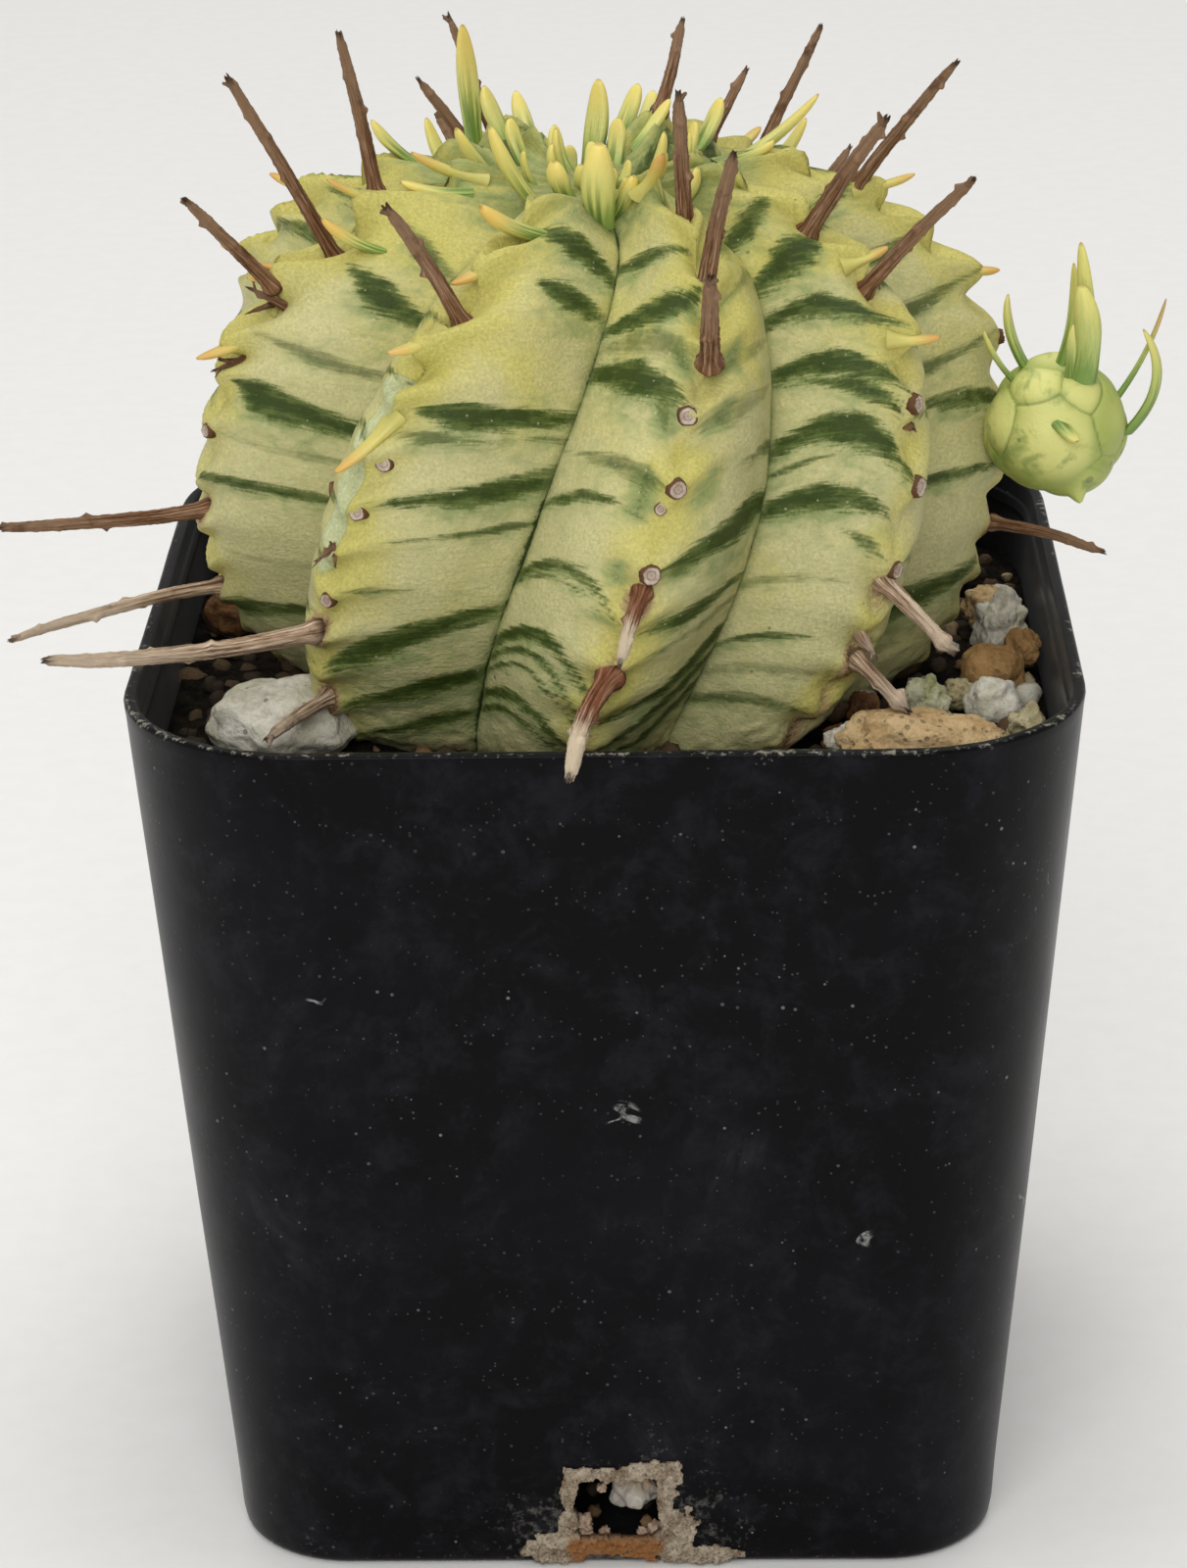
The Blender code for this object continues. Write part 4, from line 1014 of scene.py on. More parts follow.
def add_crown_leaves(skin, material, stub_material):
    def under(x, y):
        return skin.ray_cast(above_rim(x, y, 60), Vector((0, 0, -1)))[0]

    for seed, node in enumerate(nodes_called("leaf_")):
        foot, tip = cad_axis(node)
        width, aged = CROWN_LEAVES[node]
        add_leaf("crown_" + node, rooted(skin, foot, tip), tip, width * MM, material, (node,),
                 aged=aged, seed=seed)
    for seed, (*place, length, rise, swing) in enumerate(SMALL_LEAVES):
        base = on_crest(*place)
        tip = base + outward(*place, rise, swing) * 1.25 * length * MM
        add_leaf(f"small_leaf_{seed + 1}", rooted(skin, base, tip, 0.9 * MM), tip,
                 (1.1 + 0.08 * (seed % 4)) * MM,
                 stub_material, bow=0.04, aged=(seed % 3) * 0.3, seed=40 + seed, foot_width=2.2)
    for seed, (stand, peak, width) in enumerate(INNER_LEAVES):
        tip = above_rim(*peak)
        add_leaf(f"inner_leaf_{seed + 1}", rooted(skin, under(*stand), tip, 0.8 * MM), tip, width * MM,
                 material,
                 aged=0.1 * (seed % 3), seed=140 + seed, foot_width=0.95)
    # Young leaves in a spiral round the growing point.
    chance = np.random.default_rng(7)
    for seed in range(YOUNG_LEAVES):
        azimuth = GOLDEN_ANGLE * seed
        reach = 1.2 + 0.55 * seed
        way = Vector((math.sin(azimuth), math.cos(azimuth), 0))
        base = under(PLANT_X + reach * way.x, PLANT_Y + reach * way.y)
        way = (way * chance.uniform(0.25, 0.75) + Vector((0, 0, 1))).normalized()
        tip = base + way * chance.uniform(1.5, 3.6) * MM
        add_leaf(f"young_leaf_{seed + 1}", rooted(skin, base, tip, 0.6 * MM), tip,
                 chance.uniform(0.9, 1.5) * MM,
                 material, bow=0.1, seed=70 + seed, foot_width=1.1)


# A scar's outline from its centre out: radius, as a share of its size, and height above the skin in mm.
SCAR_RINGS = [(0.05, 0.1), (0.3, 0.11), (0.6, 0.12), (0.8, 0.2), (0.95, 0.2), (1.05, 0.05), (1.2, -0.5)]


def add_scars(skin, material):
    """Low oval discs with a raised brown edge, where old stalks fell."""
    sides = 28
    for number, (rib, along, across, size) in enumerate(SCARS):
        start = on_crest(rib, along, across)
        nearest, normal, _, _ = skin.find_nearest(start)
        normal = (0.35 * normal + outward(rib, along, 12, 60 * across)).normalized()
        centre = skin.ray_cast(start + normal * 5 * MM, -normal)[0] or nearest
        up = (on_crest(rib, along + 0.02) - on_crest(rib, along - 0.02)).normalized()
        side = up.cross(normal).normalized()
        up = normal.cross(side).normalized()
        chance = np.random.default_rng(300 + number)
        wobble = 1 + 0.08 * chance.normal(0, 1, sides)
        wobble = (wobble + np.roll(wobble, 1) + np.roll(wobble, -1)) / 3
        rings, edges = [], []
        for radius, lift in SCAR_RINGS:
            for i in range(sides):
                angle = 2 * math.pi * i / sides
                out = side * math.cos(angle) + up * math.sin(angle) * 1.05
                rings.append(centre + (out * (0.8 * size * radius * wobble[i])
                                       + normal * lift * (1 + 0.2 * chance.normal())) * MM)
                edges.append(radius)
        vertices, faces = closed_grid(np.array(rings).reshape(-1, sides, 3))
        add_mesh(f"scar_{number + 1}", vertices, faces, material, (),
                 {"edge": capped(edges, 0, 1)})


# ---- the offset ----

# Directions and half widths in degrees of the offset's folded lobes.
LOBES = [
    ((-0.15, -0.967, 0.1), 60), ((0.82, -0.44, 0.33), 42), ((-0.29, -0.52, 0.8), 31),
    ((0.33, -0.6, 0.74), 29),
    ((-0.86, -0.45, 0.25), 34), ((0.5, -0.5, -0.7), 38), ((0.88, 0.1, -0.1), 40),
    ((0.75, 0.55, 0.3), 42), ((0.2, 0.9, 0.35), 44), ((-0.5, 0.75, 0.35), 42), ((-0.4, 0.6, -0.6), 48),
    ((0.45, 0.5, -0.7), 48), ((0.1, 0.25, 0.96), 34), ((-0.9, 0.3, -0.2), 46),
]
OFFSET_SPUR = (0.28, -0.62, -0.78)
OFFSET_LEFT = 30.3 * MM  # the globe's left side: the CAD node's box also holds the neck to its left


def add_offset(material):
    low, high = box_of("offset_body")
    low[0] = OFFSET_LEFT
    rows, sides = 110, 160
    polar = np.linspace(math.pi - 0.02, 0.02, rows)[:, None]
    azimuth = (2 * math.pi * np.arange(sides) / sides)[None]
    way = np.stack([np.sin(polar) * np.cos(azimuth), np.sin(polar) * np.sin(azimuth),
                    np.cos(polar) + 0 * azimuth], -1)
    x, z = way[..., 0], way[..., 2]

    def degrees_from(direction):
        return np.degrees(np.arccos(np.clip(way @ (np.array(direction) / np.linalg.norm(direction)), -1, 1)))

    heights = np.sort([1 - (degrees_from(direction) / width) ** 2 for direction, width in LOBES], 0)
    first, second = np.clip(heights[-1], -0.4, 1), heights[-2]
    groove = bell(first - second, 0.09) * (1 - smooth(first, 0.75, 0.95)) * smooth(z, -0.55, -0.1)
    size = (0.9 + 0.1 * first - 0.025 * groove) * (1 + 0.1 * smooth(z, 0.3, 0.9) * (1 - smooth(z, 0.9, 1.0)))
    size += 0.012 * lumps(way, 0.4, 2.0) + 0.16 * bell(degrees_from(OFFSET_SPUR), 5.5)
    vertices, faces = closed_grid((low + high) / 2 + (high - low) / 2 * (way * size[..., None]))
    # Pale on the lobes' tops; painted shade darkens the globe towards its right side and its underside.
    crest = np.clip(first, 0, 1) - 0.5 * smooth(x, 0.35, 0.7) - 0.35 * smooth(-z, 0.1, 0.8)
    add_mesh("offset_globe", vertices, faces, material, ("offset_body",),
             {"crest": capped(crest, 0, 0), "groove": capped(groove, 0, 0)})
    return surface(vertices, faces)


# The offset's leaves: width, bend to the right and age, for those that have a CAD node, and foot, tip, width
# and bend for the rest.
OFFSET_LEAVES = {"offset_leaf_1": (0.8, 0.0, 0), "offset_leaf_2": (1.25, -0.03, 0),
                 "offset_leaf_3": (0.95, 0.02, 0),
                 "offset_leaf_4": (1.5, 0.07, 0), "offset_leaf_5": (0.65, 0, 0.8)}
OFFSET_BLADES = [
    ((37.2, -6.0, 19.9), (37.3, -6.4, 24.0), 1.1, 0.0), ((37.9, -6.0, 20.2), (37.7, -6.8, 27.3), 2.1, 0.08),
    ((41.9, -4, 14.9), (42.9, -4.4, 22.9), 1.3, 0.13), ((36.4, -8.6, 16.1), (37.4, -10.1, 15.4), 1.3, 0.0),
]


def add_offset_leaves(skin, material):
    for seed, (node, (width, aside, aged)) in enumerate(OFFSET_LEAVES.items()):
        foot, tip = cad_axis(node)
        add_leaf(node + "_blade", rooted(skin, foot, tip), tip, width * MM, material, (node,),
                 aged=aged, seed=110 + seed, aside_bend=aside, foot_width=1.15)
    for seed, (foot, tip, width, aside) in enumerate(OFFSET_BLADES):
        foot, tip = above_rim(*foot), above_rim(*tip)
        add_leaf(f"offset_blade_{seed + 1}", rooted(skin, foot, tip), tip, width * MM, material,
                 seed=120 + seed, aside_bend=aside, foot_width=1.2)


# ---- stones and mix ----


def rough_ball(chance, detail, lump, grain):
    """Vertices and faces of a stone inside a unit cube, with broad lumps and a fine rough surface."""
    bm = bmesh.new()
    bmesh.ops.create_icosphere(bm, subdivisions=detail, radius=1)
    shift = Vector(chance.uniform(-50, 50, 3))
    for vertex in bm.verts:
        way = vertex.co.normalized()
        size = 1 + lump * noise.noise(way * 1.5 + shift) + 0.5 * lump * noise.noise(way * 3.1 + shift)
        size += grain * noise.noise(way * 8 + shift) + 0.5 * grain * noise.noise(way * 17 + shift)
        vertex.co = way * size
    points = np.array([vertex.co for vertex in bm.verts])
    faces = [tuple(v.index for v in face.verts) for face in bm.faces]
    bm.free()
    low, high = points.min(0), points.max(0)
    return (points - (low + high) / 2) / (high - low), faces


STONE_SHAPES = {  # lump, grain, material
    "pumice_front_left": (0.22, 0.015, "pumice"), "pebble_left": (0.2, 0.02, "brown_stone"),
    "pumice_back_left": (0.35, 0.06, "pumice"), "pebble_back": (0.2, 0.02, "cream_stone"),
    "stone_back_right": (0.3, 0.04, "brown_stone"), "pumice_right": (0.42, 0.07, "pumice"),
    "pebble_tan_right": (0.16, 0.02, "orange_stone"), "pebble_pale_right": (0.42, 0.08, "mossy_stone"),
    "pebble_oval_right": (0.2, 0.02, "pumice"), "chip_white_right": (0.25, 0.04, "pumice"),
    "pumice_holed_right": (0.45, 0.08, "cream_stone"), "stone_tan_front_right": (0.22, 0.035, "tan_stone"),
    "chip_brown_right": (0.3, 0.04, "brown_stone"),
}


# How the look of a few stones differs from its CAD node's box: low and high corners moved, in mm.
STONE_SHIFTS = {"pumice_front_left": ((1.2, -2.0, -1.0), (4.2, -1.2, -1.0)),
                "stone_tan_front_right": ((0, 0, 0), (0, 0, 1.1))}
STONE_SUNK = 0.8 * MM
# Stones with no CAD node: a white lump capping the tan stone and a few between the larger ones. For each:
# its middle (x, y, height above the rim), size, lump, material and slot.
SMALL_STONES = {
    "pumice_cap": ((19.3, -23.4, -4.4), (4.6, 3.4, 3.0), 0.4, "pumice", "pumice_white"),
    "pebble_front_right": ((18.6, -20.5, -5.6), (3.4, 3.0, 2.6), 0.3, "brown_stone", "stone_brown"),
    "pebble_between": ((28.6, -9.9, -6.0), (3.4, 3.2, 2.8), 0.25, "cream_stone", "stone_cream"),
    "pebble_right_wall": ((34.0, -1.0, -5.4), (3.4, 4.6, 3.4), 0.25, "orange_stone", "stone_tan"),
    "pebble_far_right": ((31.8, 8.8, -5.2), (4.6, 4.4, 3.6), 0.3, "tan_stone", "stone_tan"),
    "pebble_back_centre": ((-4.0, 33.2, -5.8), (5.4, 3.6, 3.4), 0.3, "pumice", "pumice_white"),
}


def add_stones(materials):
    for number, (node, (lump, grain, kind)) in enumerate(STONE_SHAPES.items()):
        low, high = box_of(node)
        big = max(high - low) > 7 * MM
        points, faces = rough_ball(np.random.default_rng(200 + number), 6 if big else 5, lump, grain)
        if node == "pumice_holed_right":
            hole, push = np.array([-0.2, -0.38, 0.1]), np.array([0.1, 0.28, -0.05])
            points += np.exp(-np.sum((points - hole) ** 2, 1) / 0.012)[:, None] * push
        if node == "stone_tan_front_right":
            points[:, 2] *= 1 - 0.35 * points[:, 0]
        down, up = STONE_SHIFTS.get(node, ((0, 0, 0), (0, 0, 0)))
        low, high = low + np.array(down) * MM - (0, 0, STONE_SUNK), high + np.array(up) * MM
        points = (low + high) / 2 + points * (high - low)
        add_mesh("top_" + node, points, faces, materials[kind], (node,))
    for number, (name, (middle, size, lump, kind, slot)) in enumerate(SMALL_STONES.items()):
        points, faces = rough_ball(np.random.default_rng(230 + number), 5, lump, 0.05)
        add_mesh(name, points * np.array(size) * MM + np.array(above_rim(*middle)), faces, materials[kind])


def square_ring(half, corner, height, steps=14):
    """Points round a square with rounded corners, anticlockwise from the right side, in metres."""
    ring = []
    flat = half - corner
    quarter = [(half, -flat + 2 * flat * i / steps) for i in range(steps)]
    for i in range(steps):
        angle = math.radians(90) * i / steps
        quarter.append((flat + corner * math.cos(angle), flat + corner * math.sin(angle)))
    for turn in np.radians([0, 90, 180, 270]):
        ring.append(np.array(quarter) @ np.array([[math.cos(turn), math.sin(turn)],
                                                  [-math.sin(turn), math.cos(turn)]]))
    ring = np.concatenate(ring)
    return np.column_stack([ring, np.full(len(ring), height)])


# The pot's outline: half width and corner radius, at the foot and at the rim, in metres.
POT_FOOT, POT_TOP = (31.2 * MM, 9.3 * MM), (POT_HALF, 14.8 * MM)
WALL = 1.0 * MM
HOLE = (-3.5 * MM, 3.9 * MM, 2.0 * MM, 8.8 * MM)  # a drain hole's left, right, low and high edges


def pot_outline(height):
    """The half width and the corner radius at a height."""
    share = height / RIM
    return (low + (high - low) * share for low, high in zip(POT_FOOT, POT_TOP))


def pot_ring(height, inset, level=None):
    """A ring inside the pot's outline at a height, and drawn at another level if one is given."""
    half, corner = pot_outline(height)
    return square_ring(half - inset, max(corner - inset, 0.5 * MM), height if level is None else level)


def scaled_rings(ring, shares):
    return [ring * (share, share, 1) for share in shares]


def hole_nearness(points):
    """1 at the middle of the nearest drain hole, falling to 0 about 12 mm away."""
    aside = np.minimum(np.abs(points[..., 0]), np.abs(points[..., 1]))
    return bell(aside, 6 * MM) * bell(points[..., 2], 6 * MM, 5.4 * MM)


def add_mix(material):
    gap = WALL + 0.35 * MM
    heights = np.concatenate([np.linspace(2.4 * MM, 14 * MM, 18), np.linspace(18 * MM, MIX_TOP, 12)])
    sides = np.array([pot_ring(height, gap) for height in heights])
    sides[..., :2] *= 1 - 0.32 * hole_nearness(sides)[..., None]
    top = np.array(scaled_rings(pot_ring(MIX_TOP, gap), np.linspace(0.97, 0.04, 46)))
    top[..., 2] += (0.5 * lumps(top, 2.4 * MM, 4.0) + 0.25 * lumps(top, 0.9 * MM, 8.0) - 0.1) * MM
    vertices, faces = closed_grid(np.concatenate([sides, top]))
    add_mesh("soil", vertices, faces, material, ("potting_mix",))


GRAINS, DRAIN_GRAINS = 620, 26  # on the mix, and in the drain holes


def add_fines(material):
    """Grains of grit over the mix, and a few stuck in the drain holes."""
    chance = np.random.default_rng(17)
    shapes = [rough_ball(chance, 2, 0.45, 0.1) for _ in range(8)]
    spots = []
    while len(spots) < GRAINS:
        x, y = chance.uniform(-35, 35, 2)
        corner = math.hypot(max(abs(x) - 22, 0), max(abs(y) - 22, 0))
        if math.hypot(x - PLANT_X, y - PLANT_Y) < 20 or max(abs(x), abs(y)) > 35.2 or corner > 13.4:
            continue
        size = chance.uniform(0.9, 2.1) if chance.random() < 0.75 else chance.uniform(2.1, 3.4)
        spots.append((x, y, MIX_TOP / MM + chance.uniform(-0.35, 0.3) * size, size, chance.random() ** 1.5))
    for i in range(DRAIN_GRAINS):
        reach = chance.uniform(24, 29.4)
        aside, height = chance.uniform(-4, 4), chance.uniform(2.2, 3.4)
        x, y = [(aside, -reach), (reach, aside), (aside, reach), (-reach, aside)][i % 4]
        spots.append((x, y, height, chance.uniform(0.8, 1.8), chance.random()))
    vertices, faces, tones = [], [], []
    for x, y, z, size, tone in spots:
        points, joined = shapes[chance.integers(8)]
        turn = np.array(Matrix.Rotation(chance.uniform(0, 6.28), 3,
                                        Vector(chance.normal(0, 1, 3)).normalized()))
        points = (points * chance.uniform(0.7, 1.0, 3)) @ turn * size * MM + np.array([x, y, z]) * MM
        faces += [tuple(i + len(points) * len(vertices) for i in face) for face in joined]
        vertices.append(points)
        # Painted shade: darker towards the left, where the inside of the pot lies in shade.
        tones.append(np.full(len(points), tone * (0.25 + 0.75 * smooth(x, -24, 4))))
    add_mesh("grit_grains", np.vstack(vertices), faces, material, (),
             {"tone": np.concatenate(tones)})


# Crumbs in the front drain hole: x, height and size in mm.
CRUMBS = [(-2.7, 3.2, 1.8), (-2.3, 2.4, 1.5), (3.2, 2.6, 1.5), (-0.9, 2.2, 1.2), (2.2, 2.3, 1.1),
          (-1.1, 6.6, 0.9)]


def add_drain_stone(stone_material, crumb_material):
    points, faces = rough_ball(np.random.default_rng(55), 5, 0.3, 0.03)
    points = (points * (4.3, 4.0, 4.0) + (1.6, -27.6, 5.3)) * MM
    add_mesh("drain_stone", points, faces, stone_material)
    for number, (x, z, size) in enumerate(CRUMBS):
        points, faces = rough_ball(np.random.default_rng(60 + number), 4, 0.6, 0.15)
        points = (points * (size, size, 1.15 * size) + (x, -30.1, z)) * MM
        add_mesh(f"drain_crumb_{number + 1}", points, faces, crumb_material)


# ---- the pot ----


# The inside of the wall just under the rim, with its shallow step: depth and inset in mm.
RIM_STEP = [(1.4, 1.0), (1.7, 1.0), (1.85, 1.22), (2.3, 1.25), (2.6, 1.24), (2.8, 1.05), (3.2, 1.03)]


def pot_blank():
    """The pot before its drain holes are cut, from the middle of its foot, over the rim, to its floor."""
    foot_round, outer_round, inner_round = 0.9 * MM, 0.35 * MM, 0.3 * MM
    quarter = [(1 - math.sin(angle), 1 - math.cos(angle)) for angle in np.radians(np.linspace(0, 90, 6))]
    rings = scaled_rings(pot_ring(0, foot_round, 0), (0.05, 0.3, 0.6, 0.95))
    rings += [pot_ring(0, foot_round * out, foot_round * up) for out, up in quarter]
    rings += [pot_ring(height, 0) for height in np.linspace(1.6 * MM, RIM - 1.2 * MM, 60)]
    rings += [pot_ring(RIM, outer_round * in_, RIM - outer_round * down) for down, in_ in quarter]
    rings += [pot_ring(RIM, WALL - inner_round * out, RIM - inner_round * down) for down,
              out in quarter[::-1]]
    rings += [pot_ring(RIM - drop * MM, inset * MM) for drop, inset in RIM_STEP]
    rings += [pot_ring(height, WALL) for height in np.linspace(RIM - 4.5 * MM, 2.2 * MM, 40)]
    rings += scaled_rings(pot_ring(1.4 * MM, WALL), (0.99, 0.9, 0.6, 0.3, 0.05))
    rings = np.array(rings)
    # The rim is nicked and slightly wavy, and the walls bow by a few hundredths of a millimetre.
    rough = 0.07 * lumps(rings, 1.1 * MM, 1.0) + 0.05 * lumps(rings, 0.45 * MM, 6.0)
    rings[..., 2] += (rough - 0.04) * bell(RIM - rings[..., 2], 0.6 * MM) * MM
    height = rings[..., 2]
    wave = (0.10 * lumps(rings, 26 * MM, 2.0) - 0.05) * MM
    wave = wave * smooth(height, 0.5 * MM, 6 * MM) * (height > 1.5 * MM)
    rings[..., :2] += rings[..., :2] / np.linalg.norm(rings[..., :2], axis=-1, keepdims=True) * wave[...,
    None]
    return closed_grid(rings)


def hole_cutter(axis):
    """A long bar through the pot along x or y that cuts two drain holes with rounded corners."""
    left, right, low, high = HOLE
    bm = bmesh.new()
    bmesh.ops.create_cube(bm, size=1)
    size = [right - left, right - left, high - low]
    size[axis] = 100 * MM
    bmesh.ops.scale(bm, vec=size, verts=bm.verts)
    bmesh.ops.translate(bm, vec=((left + right) / 2 if axis else 0, 0, (low + high) / 2), verts=bm.verts)
    edges = [e for e in bm.edges if abs(e.verts[0].co[axis] - e.verts[1].co[axis]) > size[axis] / 2]
    bmesh.ops.bevel(bm, geom=edges, offset=0.5 * MM, segments=3, affect="EDGES")
    cutter = bpy.data.objects.new("hole_cutter", bpy.data.meshes.new("hole_cutter"))
    bm.to_mesh(cutter.data)
    bm.free()
    bpy.context.scene.collection.objects.link(cutter)
    return cutter


def add_pot(material):
    vertices, faces = pot_blank()
    mesh = bpy.data.meshes.new("pot_blank")
    mesh.from_pydata([tuple(v) for v in vertices], [], [tuple(int(i) for i in face) for face in faces])
    blank = bpy.data.objects.new("pot_blank", mesh)
    bpy.context.scene.collection.objects.link(blank)
    cutters = [hole_cutter(0), hole_cutter(1)]
    for cutter in cutters:
        cut = blank.modifiers.new("hole", "BOOLEAN")
        cut.operation, cut.solver, cut.object = "DIFFERENCE", "EXACT", cutter
    graph = bpy.context.evaluated_depsgraph_get()
    cut_mesh = bpy.data.meshes.new_from_object(blank.evaluated_get(graph))
    points = np.array([v.co for v in cut_mesh.vertices])
    faces = [tuple(face.vertices) for face in cut_mesh.polygons]
    for thing in [blank, *cutters]:
        bpy.data.objects.remove(thing)
    # The rim's outer edge, for scuffs and a painted highlight, and the lime near the foot and the front drain
    # hole, are marked for the material.
    x, y, z = points.T
    half, corner = pot_outline(np.clip(z, 0, RIM))
    over = np.maximum(np.abs(points[:, :2]) - (half - corner)[:, None], 0)
    depth = corner - np.hypot(over[:, 0], over[:, 1])
    rim = np.minimum(np.exp(-((RIM - z) / (0.3 * MM))), 1) * (0.4 + 0.6 * bell(depth, 0.5 * MM))
    lime = 0.8 * bell(np.hypot(x, z - 4 * MM), 7 * MM) * (y < -25 * MM) + 0.45 * np.exp(-z / (9 * MM))
    lime *= np.maximum(np.abs(x), np.abs(y)) > 30 * MM
    pot = add_mesh("pot_shell", points, faces, material, ("pot",), {"rim": rim, "lime": lime})
    # Sharp corners where the holes are cut, smooth elsewhere.
    bm = bmesh.new()
    bm.from_mesh(pot.data)
    for e in bm.edges:
        if len(e.link_faces) == 2 and e.calc_face_angle(0) > 0.7:
            e.smooth = False
    bm.to_mesh(pot.data)
    bm.free()


def thick_sheet(top, bottom, keep):
    """A closed skin from two grids of points where keep has cells, and which points it uses."""
    rows, columns = top.shape[:2]
    half = rows * columns
    there = np.pad(keep, 1)
    faces = []
    for r, c in zip(*np.nonzero(keep)):
        first = r * columns + c
        ring = [first, first + 1, first + columns + 1, first + columns]
        faces += [tuple(ring), tuple(i + half for i in ring[::-1])]
        # A wall on each side that has no neighbour: before, right, behind, left.
        neighbours = [there[r, c + 1], there[r + 1, c + 2], there[r + 2, c + 1], there[r + 1, c]]
        for k, neighbour in enumerate(neighbours):
            if not neighbour:
                a, b = ring[k], ring[(k + 1) % 4]
                faces.append((a, a + half, b + half, b))
    vertices = np.vstack([top.reshape(-1, 3), bottom.reshape(-1, 3)])
    used, numbered = np.unique(np.concatenate([np.array(face) for face in faces]), return_inverse=True)
    return vertices[used], numbered.reshape(-1, 4).tolist(), used


# Tufts of lime beside and below the front hole: middle (x, height), half size (x, height), weight; in mm.
CRUST_TUFTS = [((-4.6, 1.4), (3.4, 2.0), 1), ((6.4, 0.7), (3.8, 1.5), 1), ((5.0, 3.4), (1.7, 2.6), 0.8),
               ((4.4, 8.7), (1.5, 1.5), 0.9)]


def add_crust(material):
    """Lime and rust grown round the front drain hole, thickest at its lower corners."""
    x, z = np.meshgrid(np.linspace(-9 * MM, 11 * MM, 176), np.linspace(0.35 * MM, 11.2 * MM, 96))
    half, _ = pot_outline(z)
    wall = np.stack([x, -half, z], -1)
    ragged = lumps(wall, 1.5 * MM, 11.0) + 0.7 * lumps(wall, 0.6 * MM, 12.0)
    left, right, low, high = HOLE
    past_x, past_z = np.maximum(left - x, x - right), np.maximum(low - z, z - high)
    outside = np.hypot(np.maximum(past_x, 0), np.maximum(past_z, 0))
    inside = -np.maximum(past_x, past_z)
    # How wide the crust is on each side, and how far it reaches into the hole.
    reach = (0.9 + 0.8 * smooth(x, 0.5 * MM, 4 * MM) + 0.4 * smooth(-z, -6 * MM, -2 * MM)) * MM
    tufts = [weight * (1 - np.hypot((x / MM - at[0]) / size[0], (z / MM - at[1]) / size[1]))
             for at, size, weight in CRUST_TUFTS]
    amount = np.maximum(1 - outside / reach, 1.6 * np.max(tufts, 0)) + 0.55 * ragged
    lip = (0.35 + 0.35 * ragged + 0.5 * smooth(-z, -3.6 * MM, -2.2 * MM)) * MM
    amount = np.where(inside > 0, 1.0 - np.maximum(inside - lip, 0) / (0.1 * MM), amount)
    keep = amount > 0.12
    keep = keep[:-1, :-1] & keep[1:, 1:] & keep[:-1, 1:] & keep[1:, :-1]
    fluff = 0.5 + 0.5 * lumps(wall, 0.42 * MM, 21.0) + 0.35 * lumps(wall, 0.2 * MM, 23.0)
    front = wall.copy()
    front[..., 1] -= (0.1 + 0.75 * np.clip(amount, 0, 1) * fluff) * MM
    front[..., 0] += 0.12 * MM * lumps(wall, 0.5 * MM, 31.0)
    vertices, faces, used = thick_sheet(front, wall + np.array([0, 0.45 * MM, 0]), keep)
    rust = 0.75 * smooth(-z, -3.4 * MM, -1.6 * MM) * smooth(x, -5 * MM,
                                                            -3 * MM) * (1 - smooth(x, 3 * MM, 4.6 * MM))
    rust += 0.35 * bell(outside, 0.5 * MM)
    add_mesh("lime_crust", vertices, faces, material, (), {"rust": np.tile(rust.ravel(), 2)[used]})


# ---- the studio ----


# Each lamp: where it is, what it faces, its side and its power.
LAMPS = {"overhead": ((0.0, 0.35, 1.5), (0, 0.35, 0), 1.3, 12.3),
         "front": ((-0.1, -0.8, 0.6), (0, 0, 0.06), 0.7, 5.0),
         "left_window": ((-0.8, -0.1, 0.5), (0, 0, 0.07), 0.7, 0.6)}
WORLD_COLOUR, WORLD_STRENGTH = (1.0, 0.995, 0.98, 1), 0.33
FLOOR_CORNERS = [(-3, -2, 0), (3, -2, 0), (3, 4, 0), (-3, 4, 0)]
LENS, SENSOR = 106.95, 36
CAMERA_PLACE = (0.006948, -0.362067, 0.202397)
CAMERA_ANGLES = (68.0545, 0.8862, 0.9793)  # about x, y and z, in degrees


def put(thing, place=(0, 0, 0), rotation=(0, 0, 0)):
    made = bpy.data.objects.new(thing.name, thing)
    made.location, made.rotation_euler = place, rotation
    bpy.context.scene.collection.objects.link(made)
    return made


def add_studio():
    scene = bpy.context.scene
    scene.view_settings.view_transform = "Standard"
    scene.world = scene.world or bpy.data.worlds.new("studio")
    scene.world.use_nodes = True
    background = scene.world.node_tree.nodes["Background"]
    background.inputs["Color"].default_value = WORLD_COLOUR
    background.inputs["Strength"].default_value = WORLD_STRENGTH
    for name, (place, target, size, power) in LAMPS.items():
        light = bpy.data.lights.new(name, "AREA")
        light.shape, light.size, light.energy = "SQUARE", size, power
        put(light, place, (Vector(target) - Vector(place)).to_track_quat("-Z", "Y").to_euler())
    mesh = bpy.data.meshes.new("floor")
    mesh.from_pydata(FLOOR_CORNERS, [], [(0, 1, 2, 3)])
    mesh.materials.append(floor_paper())
    put(mesh)
    camera = bpy.data.cameras.new("camera")
    camera.lens, camera.sensor_width, camera.clip_start = LENS, SENSOR, 0.02
    scene.camera = put(camera, CAMERA_PLACE, [math.radians(angle) for angle in CAMERA_ANGLES])


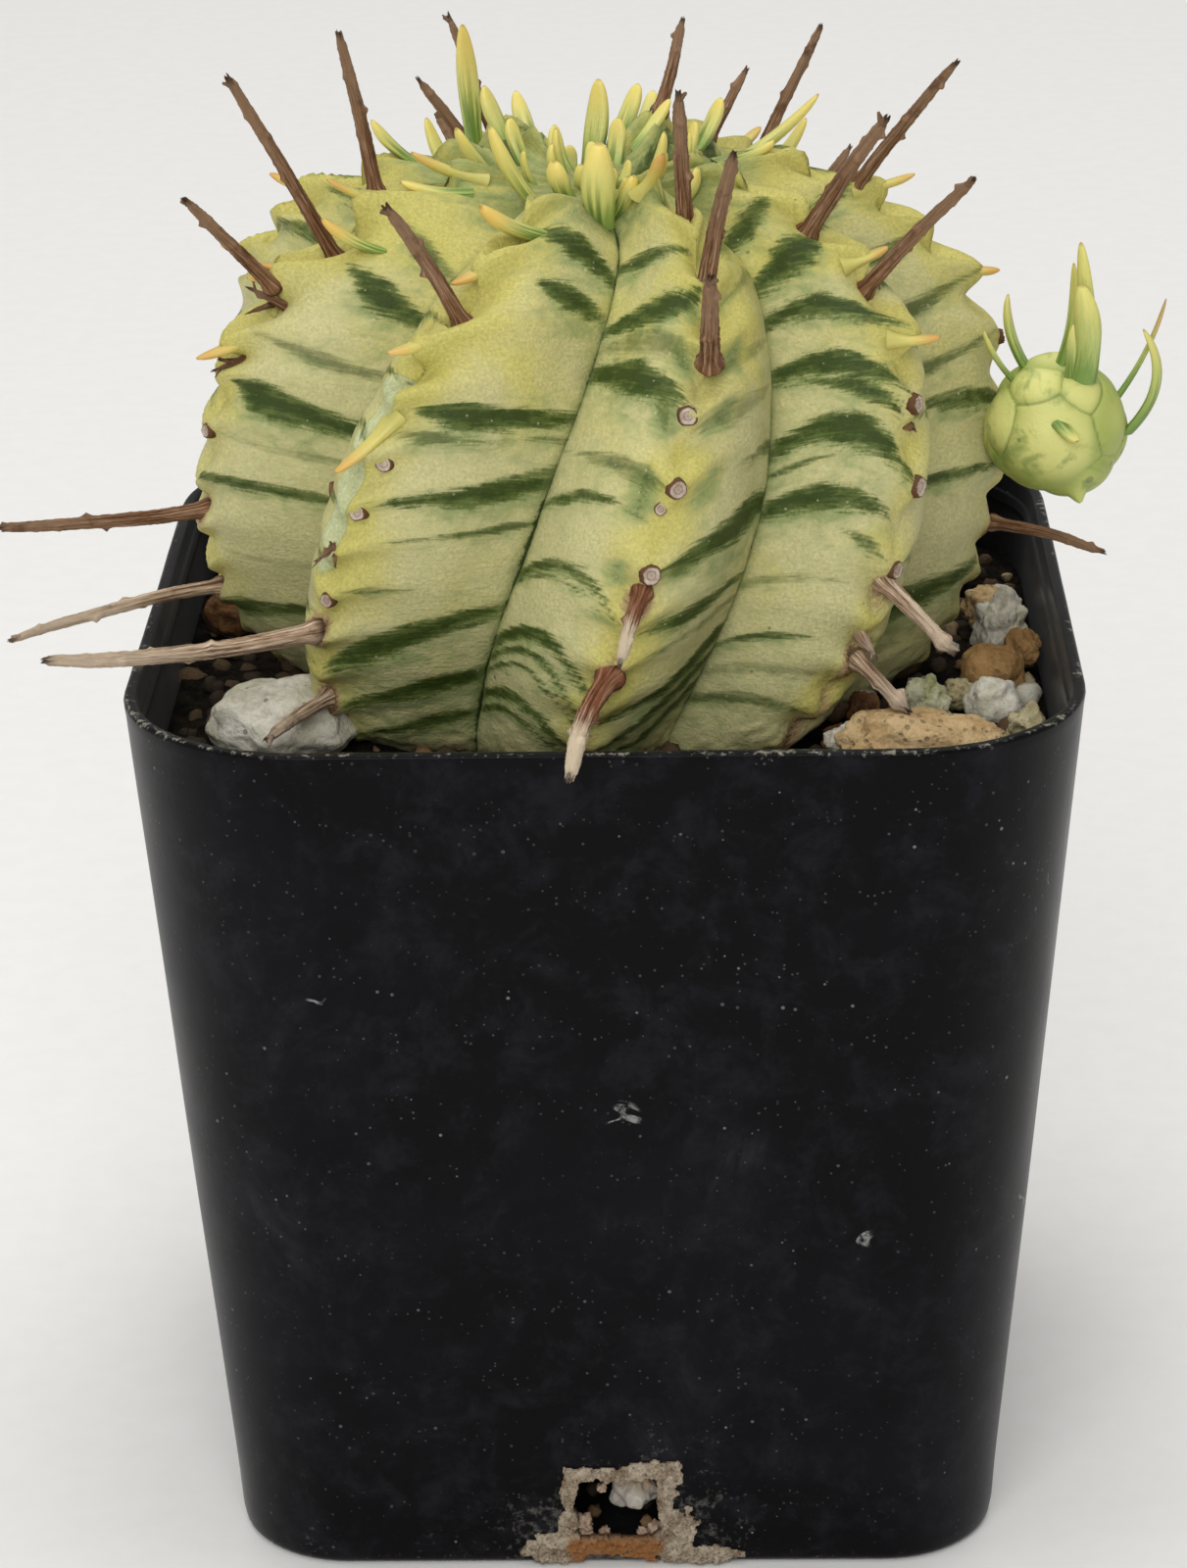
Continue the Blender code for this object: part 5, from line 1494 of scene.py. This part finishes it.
def add_all_stones():
    add_stones({name: stone(name, *look) for name, look in {
        "pumice": ((0.46, 0.43, 0.34), (0.74, 0.7, 0.6), (0.52, 0.5, 0.34), 650.0, 0.15),
        "tan_stone": ((0.42, 0.27, 0.12), (0.66, 0.48, 0.26), (0.5, 0.3, 0.12), 900.0, 0.6),
        "orange_stone": ((0.24, 0.13, 0.045), (0.42, 0.25, 0.1), (0.3, 0.16, 0.06), 700.0, 0.3),
        "brown_stone": ((0.07, 0.03, 0.012), (0.2, 0.095, 0.035), (0.12, 0.05, 0.02), 700.0, 0.3),
        "cream_stone": ((0.3, 0.25, 0.13), (0.56, 0.5, 0.32), (0.42, 0.34, 0.18), 800.0, 0.7),
        "mossy_stone": ((0.36, 0.35, 0.2), (0.66, 0.64, 0.45), (0.32, 0.35, 0.12), 700.0, 0.4)}.items()})


def main():
    make_shared_effects()
    skin = add_plant(plant_skin())
    dry = dry_stalk("dry_stalk", (0.085, 0.033, 0.012), (0.25, 0.115, 0.052), (0.48, 0.31, 0.19),
                    (0.39, 0.24, 0.14))
    half_dry = dry_stalk("dry_stalk_fading", (0.1, 0.028, 0.012), (0.27, 0.1, 0.045), (0.44, 0.24, 0.14),
                         (0.85, 0.7, 0.5), (0.4, 0.7, 0.95))
    bleached = dry_stalk("dry_stalk_bleached", (0.15, 0.075, 0.04), (0.52, 0.35, 0.22), (0.88, 0.72, 0.54),
                         (0.76, 0.6, 0.44))
    add_stalks(skin, dry, bleached, half_dry)
    leaf = leaf_skin("leaf_skin", (0.86, 0.72, 0.2), (0.72, 0.7, 0.23), (0.3, 0.42, 0.1), (0.74, 0.47, 0.1),
                     0.85)
    stub = leaf_skin("tubercle_leaf", (0.72, 0.47, 0.13), (0.68, 0.6, 0.17), YELLOW, (0.6, 0.3, 0.06), 0.0)
    add_crown_leaves(skin, leaf, stub)
    add_scars(skin, scar_tissue())
    offset = add_offset(offset_skin())
    add_offset_leaves(offset, leaf_skin("offset_leaf_skin", (0.72, 0.66, 0.2), (0.5, 0.55, 0.17),
                                        (0.2, 0.32, 0.07),
                                        (0.45, 0.25, 0.12)))
    add_all_stones()
    add_mix(potting_mix())
    add_fines(gravel_fines())
    add_drain_stone(stone("drain_stone", (0.45, 0.4, 0.33), (0.66, 0.62, 0.55), (0.62, 0.33, 0.08), 500.0,
                          0.2),
                    stone("drain_crumb", (0.34, 0.2, 0.13), (0.6, 0.46, 0.34), (0.3, 0.1, 0.03), 900.0, 0.6))
    add_pot(pot_plastic())
    add_crust(lime_crust())
    add_studio()


main()
